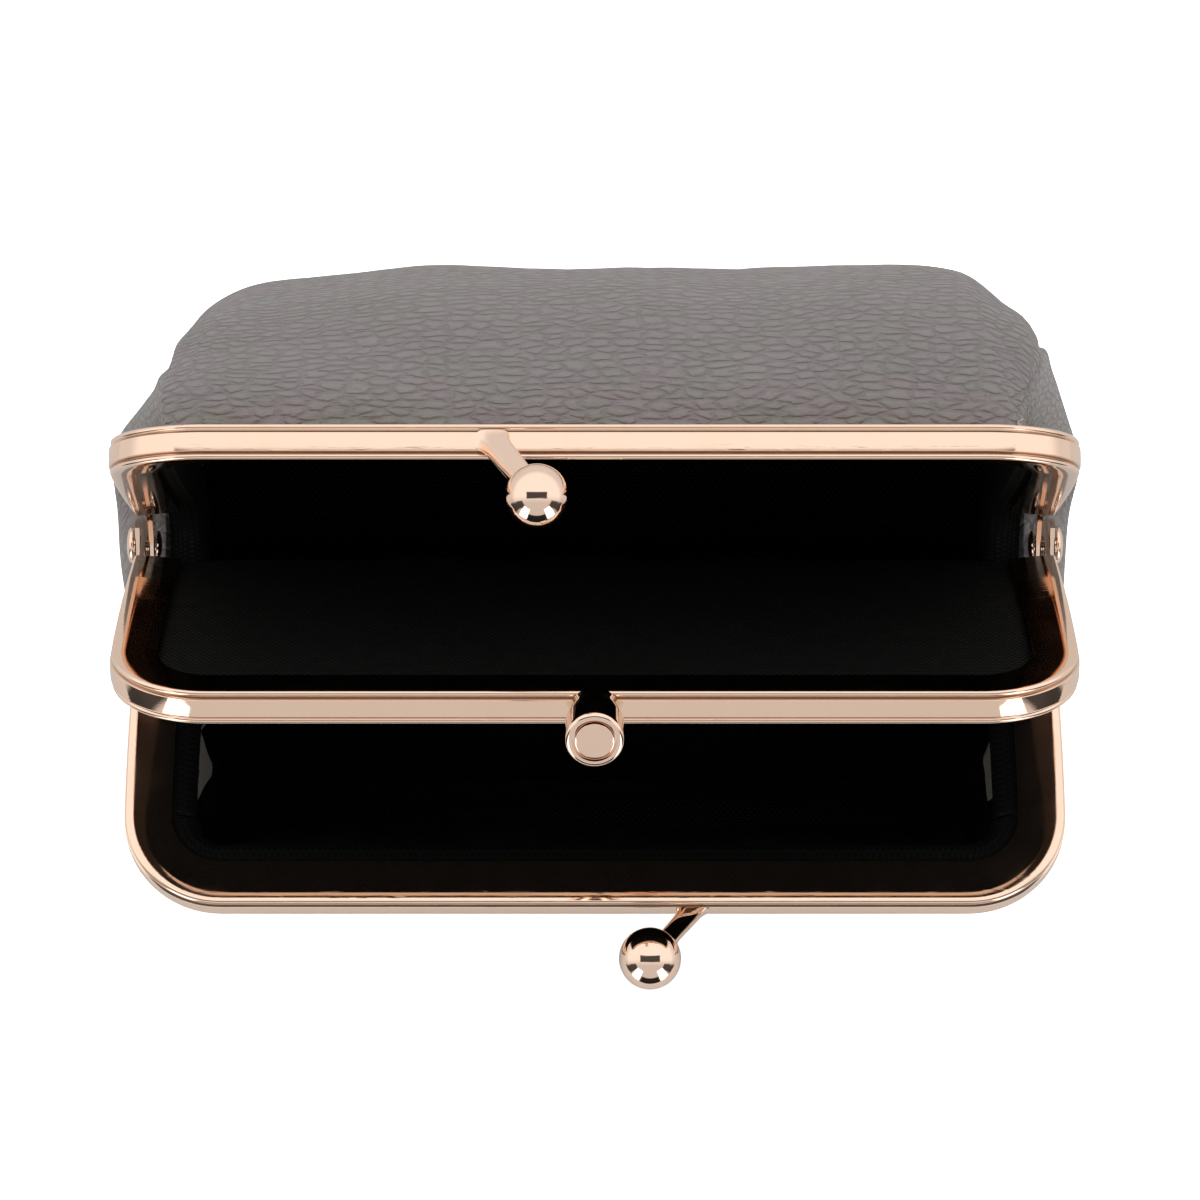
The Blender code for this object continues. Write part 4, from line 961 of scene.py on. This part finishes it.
def turn_with_hinges(obj, node, held=None):
    """Cuts a sheet into its rear part and its front wedges; the rear part goes with the bag, and the wedges
    stay where they are cut. The whole sheet's normals are kept, so that no cut shows."""
    source = obj.data
    bm = bmesh.new()
    bm.from_mesh(source)
    bm.normal_update()
    whole_normal = bm.verts.layers.float_vector.new("whole normal")
    for v in bm.verts:
        v[whole_normal] = v.normal
    for p, q in CUTS:
        bmesh.ops.bisect_plane(bm, geom=bm.verts[:] + bm.edges[:] + bm.faces[:], dist=1e-7,
                               plane_co=(0, p[0], p[1] + HINGE_HEIGHT),
                               plane_no=(0, p[1] - q[1], q[0] - p[0]))
    centres = np.array([f.calc_center_median() for f in bm.faces])
    names = wedge_of(centres[:, 1:] - (0, HINGE_HEIGHT))
    made = []
    for name in sorted(set(names)):
        part = bm.copy()
        part.faces.ensure_lookup_table()
        bmesh.ops.delete(part, geom=[part.faces[i] for i in np.nonzero(names != name)[0]], context="FACES")
        close_cuts(part)
        mesh = bpy.data.meshes.new(f"{obj.name}_{name or 'rear'}")
        part.to_mesh(mesh)
        part.free()
        mesh.materials.append(source.materials[0])
        normals = np.empty(len(mesh.vertices) * 3, np.float32)
        mesh.attributes["whole normal"].data.foreach_get("vector", normals)
        mesh.attributes.remove(mesh.attributes["whole normal"])
        mesh.normals_split_custom_set_from_vertices(normals.reshape(-1, 3).tolist())
        new = bpy.data.objects.new(mesh.name, mesh)
        bpy.context.collection.objects.link(new)
        made.append((new, name))
    bm.free()
    bpy.data.objects.remove(obj, do_unlink=True)
    for new, name in made:
        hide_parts(node)
        if not name:
            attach(new, "bag")
            continue
        bodies, (p, q), corner, full = WEDGES[name]
        p, q, corner = (Vector((0, a, b + HINGE_HEIGHT)) for a, b in (p, q, corner))
        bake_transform(new)
    if held:
        declare_cloth([new for new, _ in made])


# Pebbled grain: cells wider than tall where the leather was pulled over the frame, each one a soft dome
# with a wavering edge, and finer creases between and across them. The valley mask paints shade along
# the cells' edges.
pebble, taken, given = effect("pebbled grain", [("Lengths", "NodeSocketVector", (0, 0, 0)),
                                                ("Cell width", "NodeSocketFloat", 0.0021),
                                                ("Cell height", "NodeSocketFloat", 0.0012)],
                              [("Height", "NodeSocketFloat"), ("Valley shade", "NodeSocketFloat"),
                               ("Patch", "NodeSocketFloat"), ("Tint", "NodeSocketFloat")])
parts_uv = add(pebble, "ShaderNodeSeparateXYZ", {0: taken["Lengths"]}).outputs
cells_along = maths(pebble, "DIVIDE", parts_uv[0], taken["Cell width"])
cells_down = maths(pebble, "DIVIDE", parts_uv[1], taken["Cell height"])
cell_place = add(pebble, "ShaderNodeCombineXYZ", {0: cells_along, 1: cells_down}).outputs[0]
moved = cell_place
for waver_scale, reach in ((0.30, 1.1), (1.5, 0.55)):
    waver = add(pebble, "ShaderNodeTexNoise", {"Vector": cell_place, "Scale": waver_scale, "Detail": 1.5})
    centred = add(pebble, "ShaderNodeVectorMath", {0: waver.outputs["Color"], 1: (0.5, 0.5, 0.5)},
                  operation="SUBTRACT")
    reached = add(pebble, "ShaderNodeVectorMath", {0: centred.outputs[0], 1: (reach, reach, 0)},
                  operation="MULTIPLY")
    moved = add(pebble, "ShaderNodeVectorMath", {0: moved, 1: reached.outputs[0]}, operation="ADD").outputs[0]


def cells(feature, scale, randomness, **shape):
    """The distance to the edge or to the middle of the wavering cells."""
    levels = {"Vector": moved, "Scale": scale, "Randomness": randomness, **shape}
    pattern = add(pebble, "ShaderNodeTexVoronoi", levels, feature=feature, voronoi_dimensions="2D")
    return pattern.outputs["Distance"]


edge_of_cell = cells("DISTANCE_TO_EDGE", 1.0, 0.80)
middle_of_cell = cells("SMOOTH_F1", 1.0, 0.80, Smoothness=0.25)
creases = ease(pebble, cells("DISTANCE_TO_EDGE", 2.6, 1.0), 0.0, 0.14)
dome = maths(pebble, "ADD", times(pebble, ease(pebble, edge_of_cell, 0.0, 0.26), 0.55),
             times(pebble, ease(pebble, middle_of_cell, 0.75, 0.10), 0.45))
pores = noise(pebble, moved, 6.0, 4.0)
fine_relief = maths(pebble, "ADD", times(pebble, creases, 0.07), times(pebble, pores, 0.12))
pebble.links.new(maths(pebble, "ADD", times(pebble, dome, 0.84), fine_relief), given["Height"])
fading = ease(pebble, noise(pebble, cell_place, 0.9, 2.0), 0.30, 0.62, 0.35, 1.0)
# Painted shade: darker colour in the valleys between the cells.
pebble.links.new(times(pebble, ease(pebble, edge_of_cell, 0.20, 0.0), fading), given["Valley shade"])
pebble.links.new(noise(pebble, cell_place, 0.16, 3.0), given["Patch"])
pebble.links.new(ease(pebble, noise(pebble, cell_place, 0.30, 1.0), 0.42, 0.60), given["Tint"])
BINDING_FALL, FALL_EDGE, LENGTH_EDGE = 0.0096, 0.0003, 0.0004
INSIDE_EARS, EARS_EDGE = 0.0574, 0.0004


def leather(name, top, cool, valley, cell_width, cell_height, depth, bound_half_length=0.0):
    """Pebbled leather, warm and cool by patches, with painted shade in the valleys between the cells. On a
    gusset a black binding covers the edge under the rivets, over the half length to each side."""
    material, tree, shader = new_finish(name)
    lengths = add(tree, "ShaderNodeUVMap", uv_map="lengths").outputs[0]
    grain = use(tree, pebble, {"Lengths": lengths, "Cell width": cell_width, "Cell height": cell_height})
    tinted = mixed_colour(tree, grain["Tint"], top, cool)
    worn = mixed_colour(tree, times(tree, grain["Patch"], 0.22), tinted, valley)
    # Painted shade: the valleys between the cells are mixed towards the valley colour.
    colour = mixed_colour(tree, times(tree, grain["Valley shade"], 0.28), worn, valley)
    if bound_half_length:
        run_and_fall = add(tree, "ShaderNodeSeparateXYZ", {0: lengths}).outputs
        along_edge = ease(tree, maths(tree, "ABSOLUTE", run_and_fall[0]), bound_half_length + LENGTH_EDGE,
                          bound_half_length)
        below_edge = ease(tree, run_and_fall[1], BINDING_FALL + FALL_EDGE, BINDING_FALL)
        place = add(tree, "ShaderNodeSeparateXYZ", {0: object_place(tree)}).outputs
        inside_ears = ease(tree, maths(tree, "ABSOLUTE", place[0]), INSIDE_EARS + EARS_EDGE, INSIDE_EARS)
        bound = times(tree, along_edge, below_edge, inside_ears)
        colour = mixed_colour(tree, bound, colour, (0.006, 0.006, 0.0058))
    tree.links.new(colour, shader.inputs["Base Color"])
    tree.links.new(ease(tree, grain["Height"], 0.2, 1.0, 0.68, 0.48), shader.inputs["Roughness"])
    shader.inputs["Specular IOR Level"].default_value = 0.40
    shader.inputs["Sheen Weight"].default_value = 0.10
    shader.inputs["Sheen Roughness"].default_value = 0.5
    bump = add(tree, "ShaderNodeBump", {"Strength": 1.0, "Distance": depth, "Height": grain["Height"]})
    tree.links.new(bump.outputs[0], shader.inputs["Normal"])
    return material


# The gussets' copy of the same leather is painted a little lighter and cooler, with lighter valleys, for the
# light that falls on them.
panel_leather = leather("grey pebbled leather", (0.272, 0.240, 0.247), (0.258, 0.248, 0.238),
                        (0.130, 0.110, 0.113), 0.0030, 0.00120, 0.00040)
lighter_gusset_leather = leather("grey gusset leather, painted lighter", (0.275, 0.250, 0.250), (0.262, 0.256, 0.246),
                         (0.160, 0.142, 0.142), 0.0015, 0.0021, 0.00024, 0.0150)
skin_depth = (0, 0), (LEATHER_IN_CHANNEL, LEATHER)
rear_panel = panel_sheet("rear_panel_leather", "rear", *skin_depth, panel_leather, relief_leather)
hand_over(rear_panel, "rear_panel", "bag")
declare_cloth([rear_panel])
for panel, node, carriers in (("front", "front_panel", ["front_frame"]),
                              ("left", "left_gusset", ["rear_frame", "front_frame"]),
                              ("right", "right_gusset", ["rear_frame", "front_frame"])):
    outside = panel_sheet(f"{node}_leather", panel, *skin_depth,
                          panel_leather if panel == "front" else lighter_gusset_leather, relief_leather)
    turn_with_hinges(outside, node, "stretched")

# Seam stitches
# The four corner seams are closed with grey polyester thread before the body is turned. The stitches lie at
# the bottom of each seam's valley, and at the right rear frame corner the thread ends in a small pale knot.
thread = fibrous("polyester thread", (0.14, 0.125, 0.125), (0.24, 0.22, 0.22), 9000.0, 2.0, 0.5)
pale_thread = fibrous("pale thread", (0.50, 0.42, 0.38), (0.66, 0.58, 0.53), 9000.0, 2.0, 0.5)

sewing, taken, given = former("row of stitches", ("Pitch", "Stitch length", "Thread radius"))
seam_curve = add(sewing, "GeometryNodeMeshToCurve", {"Mesh": taken["Line"]})
holes = add(sewing, "GeometryNodeResampleCurve", {"Curve": seam_curve.outputs[0], "Length": taken["Pitch"]},
            mode="LENGTH")
bead_of_thread = add(sewing, "GeometryNodeMeshUVSphere", {"Segments": 6, "Rings": 5, "Radius": 1.0})
run_along = add(sewing, "FunctionNodeAlignRotationToVector",
                {"Vector": add(sewing, "GeometryNodeInputTangent").outputs[0]}, axis="Z")
half_stitch = times(sewing, taken["Stitch length"], 0.5)
stitch_size = add(sewing, "ShaderNodeCombineXYZ", {"X": taken["Thread radius"], "Y": taken["Thread radius"],
                                                   "Z": half_stitch})
sewn = add(sewing, "GeometryNodeInstanceOnPoints",
           {"Points": holes.outputs[0], "Instance": bead_of_thread.outputs[0],
            "Rotation": run_along.outputs[0], "Scale": stitch_size.outputs[0]})
closed_off(sewing, sewn.outputs[0], taken["Finish"], given[0])

seam_rows = np.arange(TURN_ROW + 4, LAST_ROW - 4)
outer_face = body_grid - inward * relief_leather[..., None]
for seam_name, seam in zip(("right_rear", "right_front", "left_front", "left_rear"), SEAMS):
    node = seam_name.split("_")[0] + "_gusset"
    seam_line = outer_face[seam_rows, seam] + inward[seam_rows, seam] * 0.00004 + np.array(HINGE)
    stitches = formed(seam_name + "_seam_stitches", [seam_line], sewing,
                      {"Pitch": 0.0025, "Stitch length": 0.0021, "Thread radius": 0.00016, "Finish": thread})
    if "rear" in seam_name:
        hand_over(stitches, node, "bag")
    else:
        turn_with_hinges(stitches, node)

knot_target = np.array(picture_up) * 0.0146 + np.array((0.0523, 0, 0))
off_target = outer_face[TURN_ROW:BELLY_ROW] - knot_target
sideways_off = np.hypot(off_target[..., 0], off_target @ np.array(picture_up))
knot_row, knot_station = np.unravel_index(np.argmin(sideways_off), sideways_off.shape)
knot_at = outer_face[TURN_ROW + knot_row, knot_station] + np.array(HINGE)
knot_out = -inward[TURN_ROW + knot_row, knot_station]
knot_along = np.cross(knot_out, (0, 0, 1))
knot_along /= np.linalg.norm(knot_along)
knot_across = np.cross(knot_out, knot_along)
turns = np.linspace(0, 1, 90)[:, None]
knot_line = (knot_at + knot_out * (0.00022 + 0.00016 * np.sin(2 * pi * 4.5 * turns))
             + knot_along * (0.00095 * np.sin(2 * pi * 1.5 * turns) * (1 - 0.3 * turns))
             + knot_across * (0.00055 * np.sin(2 * pi * 2.5 * turns + 0.6)))
knot = formed("closing_knot_thread", [knot_line], twist,
              {"Ply radius": 0.00009, "Twist length": 0.0008, "Finish": pale_thread})
hand_over(knot, "rear_panel", "bag")

# Interlinings
# Thin felt board is glued behind the two large panels from the shoulder down, and gives the box its shape.
CARD_DEPTH = LEATHER + LAYER_GAP
INTERLINING, LINING = 0.0006, 0.0005
felt = fibrous("felt board", (0.50, 0.48, 0.44), (0.66, 0.63, 0.58), 900.0, 6.0, 0.95, (0.5, 0.0001))
INNER_FOOT = 0.0042
for panel in ("rear", "front"):
    card = panel_sheet(f"{panel}_interlining_felt", panel, (CARD_DEPTH, CARD_DEPTH),
                       (CARD_DEPTH + INTERLINING, CARD_DEPTH + INTERLINING), felt, relief, PUFF_ROW,
                       INNER_FOOT)
    if panel == "front":
        turn_with_hinges(card, "front_interlining", "stretched")
    else:
        hand_over(card, "rear_interlining", "bag")
        declare_cloth([card])


# Lining
# Black woven cotton lines both pockets, cut a little larger than the leather, so it gathers at the corners
# of the frames. Its weave shows as rows of small floats, painted lighter as their highlight.
weave, taken, given = effect("plain weave", [("Lengths", "NodeSocketVector", (0, 0, 0)),
                                             ("Pitch", "NodeSocketFloat", 0.0008)],
                             [("Height", "NodeSocketFloat"), ("Float", "NodeSocketFloat"),
                              ("Slub", "NodeSocketFloat")])
thread_uv = add(weave, "ShaderNodeSeparateXYZ", {0: taken["Lengths"]}).outputs
pick = maths(weave, "DIVIDE", thread_uv[1], times(weave, taken["Pitch"], 0.62))
half_step = times(weave, maths(weave, "FLOOR", pick), 0.5)
end = maths(weave, "ADD", maths(weave, "DIVIDE", thread_uv[0], taken["Pitch"]), half_step)
across = maths(weave, "SUBTRACT", maths(weave, "FRACT", end), 0.5)
upright = maths(weave, "SUBTRACT", maths(weave, "FRACT", pick), 0.5)
oval = maths(weave, "ADD", times(weave, across, across, 3.4), times(weave, upright, upright, 4.4))
slub = noise(weave, taken["Lengths"], 420.0, 3.0)
weave.links.new(ease(weave, oval, 1.0, 0.15), given["Height"])
weave.links.new(times(weave, ease(weave, oval, 0.55, 0.05), slub), given["Float"])
weave.links.new(slub, given["Slub"])
TURNED_EDGE, FLOATS_RETURN = 0.0060, 0.0040


def woven_cotton(name, float_highlight_colour, turned_edge=0.0):
    """Black cotton in plain weave; where the thread floats over its neighbours it is smoother, and a lighter
    float colour paints its highlight. Along the turned edge, down from the cloth's top, the painted float
    highlights are left out."""
    material, tree, shader = new_finish(name)
    lengths = add(tree, "ShaderNodeUVMap", uv_map="lengths").outputs[0]
    woven = use(tree, weave, {"Lengths": lengths, "Pitch": 0.00080})
    black = mixed_colour(tree, woven["Slub"], (0.0016, 0.0020, 0.0019), (0.0034, 0.0038, 0.0036))
    float_highlight = woven["Float"]
    if turned_edge:
        fall_of_cloth = add(tree, "ShaderNodeSeparateXYZ", {0: lengths}).outputs[1]
        float_highlight = times(tree, float_highlight, ease(tree, fall_of_cloth, turned_edge, turned_edge + FLOATS_RETURN))
    # Painted highlight: the floats are mixed towards the lighter float colour.
    tree.links.new(mixed_colour(tree, float_highlight, black, float_highlight_colour), shader.inputs["Base Color"])
    tree.links.new(ease(tree, woven["Float"], 0.0, 0.5, 0.85, 0.45), shader.inputs["Roughness"])
    shader.inputs["Specular IOR Level"].default_value = 0.10
    bump = add(tree, "ShaderNodeBump", {"Strength": 1.0, "Distance": 0.00012, "Height": woven["Height"]})
    tree.links.new(bump.outputs[0], shader.inputs["Normal"])
    return material


# Lit and shaded copies of one cloth: the lining's floats are painted about four times lighter than the
# partition's, as painted light in the dim pockets.
cotton = woven_cotton("black cotton", (0.055, 0.054, 0.051), TURNED_EDGE)
darker_copy_cotton = woven_cotton("black cotton, darker copy", (0.013, 0.013, 0.0125))

# The lining isn't glued to the leather below the frames: it hangs from their inner edges almost straight to
# the lower walls, in soft folds that fan out of the frames' corners.
lining_in_channel = LEATHER_IN_CHANNEL + LAYER_GAP
lining_in_panel = CARD_DEPTH + INTERLINING + LAYER_GAP
LOWER_ROW = BELLY_ROW + FINE_SPANS[4]
gusset_stations = np.concatenate([PANELS["left"][1:-1], PANELS["right"][1:-1]])
in_body = np.where(np.isin(np.arange(STATIONS), gusset_stations), CARD_DEPTH, lining_in_panel)
row_share = np.minimum(1, np.arange(len(body_grid)) / PUFF_ROW)[:, None]
lining_depth = lining_in_channel + (in_body[None, :] - lining_in_channel) * row_share
along_wall = body_grid + inward * lining_depth[..., None]
fall = (down_length - down_length[TURN_ROW]) / (down_length[LOWER_ROW] - down_length[TURN_ROW])
fall = np.clip(fall, 0, 1)[..., None]
hanging = along_wall[TURN_ROW] * (1 - fall) + along_wall[LOWER_ROW] * fall
hang_share = 0.88 * smooth(fall, 0.0, 0.10)
hang_share[LOWER_ROW:] = 0
hang_share[:TURN_ROW] = 0
hanging_face = along_wall + (hanging - along_wall) * hang_share
hanging_inward = inward_normals(hanging_face)
free_fall = 4 * fall[..., 0] * (1 - fall[..., 0])
folds = np.zeros_like(x)
for seam in SEAMS:
    d = from_station(seam)
    fan = bell(d, 0.016) * smooth(fall[..., 0], 0.0, 0.10) * smooth(fall[..., 0], 0.85, 0.35)
    sway_of_fold = 2.0 * np.sin(d / 0.0052 + 0.8) + 1.3 * fall[..., 0] * np.sin(d / 0.008)
    folds += 0.0007 * fan * np.sin(2 * pi * d / (0.0042 + 0.0050 * fall[..., 0]) + sway_of_fold)
folds += 0.0006 * free_fall * np.sin(2 * pi * (x / 0.021 + y / 0.034) + 1.5 * np.sin(x / 0.011) + z / 0.012)
folds += 0.0003 * free_fall * np.sin(2 * pi * (x / 0.0094 - y / 0.016) + 2.0 * np.sin(z / 0.008))
for panel, node in (("rear", "rear_panel_lining"), ("front", "front_panel_lining"),
                    ("left", "left_gusset_lining"), ("right", "right_gusset_lining")):
    cloth = panel_sheet(node + "_cotton", panel, (0, 0), (LINING, LINING), cotton, folds, foot=INNER_FOOT,
                        face=(hanging_face, hanging_inward))
    if panel == "rear":
        hand_over(cloth, node, "bag")
        declare_cloth([cloth])
    else:
        turn_with_hinges(cloth, node, "hung")


# Base
# The purse stands on a leather base with a stiff board over it, covered by the lining.
def wall_line(level, depth):
    """The line round the walls at a level over the floor, at a depth below the leather's outer face."""
    walls = body_grid[PUFF_ROW:] + inward[PUFF_ROW:] * (depth - relief[PUFF_ROW:, :, None])
    line = []
    for station in range(STATIONS):
        heights = walls[::-1, station, 2] + HINGE_HEIGHT
        line.append([np.interp(level, heights, walls[::-1, station, axis]) for axis in (0, 1)])
    return np.array(line)


def base_sheet(name, low, thickness, finish, edge=0.0002):
    """A flat plate that fills the space inside the leather walls, with softened edges."""
    levels = ((edge, low), (0, low + edge), (0, low + thickness - edge), (edge, low + thickness))
    rings = []
    for extra, level in levels:
        line = wall_line(level, LEATHER + 0.00012 + extra)
        rings.append(np.column_stack([line, np.full(STATIONS, level - HINGE_HEIGHT)]))
    plate = piece(name, [skin(rings)], finish, smooth=50)
    lengths = plate.data.uv_layers.new(name="lengths")
    corners = np.empty(len(plate.data.loops), np.int32)
    plate.data.loops.foreach_get("vertex_index", corners)
    places = np.array([v.co[:2] for v in plate.data.vertices])
    lengths.data.foreach_set("uv", places[corners].astype(np.float32).ravel())
    return plate


board_low = LEATHER + LAYER_GAP
BOARD = 0.0015
for name, node, slot_name, low, thickness, finish, lies_on in (
        ("base_leather", "base_panel", "grey_leather", 0, LEATHER, panel_leather,
         ["left_gusset", "right_gusset"]),
        ("base_board_card", "base_board", "stiff_card", board_low, BOARD, felt, []),
        ("base_lining_cotton", "base_lining", "black_lining", board_low + BOARD + LAYER_GAP, LINING, cotton,
         ["base_board"])):
    plate = base_sheet(name, low, thickness, finish)
    hand_over(plate, node, "bag")
    if lies_on:
        declare_cloth([plate])

# Partition
# Two layers of the lining cloth with a thin card between them fill the middle frame. Below the hinge they
# hang down to the base and part the two pockets.
tuck = CHANNEL_DEPTH - TUCK
card_corner = CORNER - tuck
spine = []
for i in range(14):
    a = pi / 2 * i / 14
    spine.append((HALF_WIDTH - tuck - card_corner + card_corner * sin(a), 0, LEG_TOP + card_corner * cos(a)))
for rim_x, rim_z, _, _ in rim_path(1, 1, 18)[2:]:
    spine.append((rim_x - tuck, 0, rim_z))
NECK_HALF_WIDTH, NECK_LEVEL, PARTITION_FOOT = 0.0470, 0.0072, -0.0040
neck = np.array((0, 0, NECK_LEVEL))
bend_down, lift, end_point = (swing((0, PARTITION_FOOT, level), -MIDDLE_OPEN)
                              for level in (0, -HINGE_HEIGHT / 2, INNER_FOOT - HINGE_HEIGHT))
for t in np.linspace(0, 1, 36):
    fall = (neck * (1 - t) ** 3 + bend_down * (3 * t * (1 - t) ** 2) + lift * (3 * t * t * (1 - t))
            + end_point * t ** 3)
    spine.append((NECK_HALF_WIDTH, fall[1], fall[2]))
spine = np.array(spine)
tangent = np.gradient(spine[:, 1:], axis=0)
tangent /= np.linalg.norm(tangent, axis=1, keepdims=True)
facing = np.stack([-tangent[:, 1], tangent[:, 0]], axis=1)
spine_run = np.concatenate([[0], np.cumsum(np.linalg.norm(np.diff(spine[:, 1:], axis=0), axis=1))])
ACROSS_CARD = 121
width_share = np.linspace(-1, 1, ACROSS_CARD)
partition_x = spine[:, None, 0] * width_share
partition_lengths = np.stack([partition_x, np.repeat(spine_run[:, None], ACROSS_CARD, axis=1)], axis=-1)
free = smooth(spine_run[:, None], 0.004, 0.020) * (1 - np.abs(width_share)) ** 0.5
sag = 0.00035 * free * np.sin(2 * pi * (partition_x / 0.041 + spine_run[:, None] / 0.052) + 0.4)
partition_card = fibrous("partition card", (0.34, 0.30, 0.25), (0.48, 0.44, 0.38), 2200.0, 3.0, 0.9)
partition_layers = (
    ("partition_rear_cloth", 0.00055, 0.0005, darker_copy_cotton, "black_lining", 1),
    ("partition_card", -0.00025, 0.0005, partition_card, "stiff_card", 0),
    ("partition_front_cloth", -0.00105, 0.0005, darker_copy_cotton, "black_lining", -1))
for node, low, thickness, finish, slot_name, outward in partition_layers:
    faces_of_layer = []
    for level in (low, low + thickness):
        stand = level + outward * np.abs(sag)
        layer = np.stack([partition_x, spine[:, None, 1] + facing[:, None, 0] * stand,
                          spine[:, None, 2] + facing[:, None, 1] * stand], axis=-1)
        faces_of_layer.append(swing(layer, MIDDLE_OPEN))
    layer_sheet = shell(node + "_sheet", *faces_of_layer, partition_lengths, finish)
    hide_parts(node)
    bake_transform(layer_sheet)
    if outward:
        declare_cloth([layer_sheet])
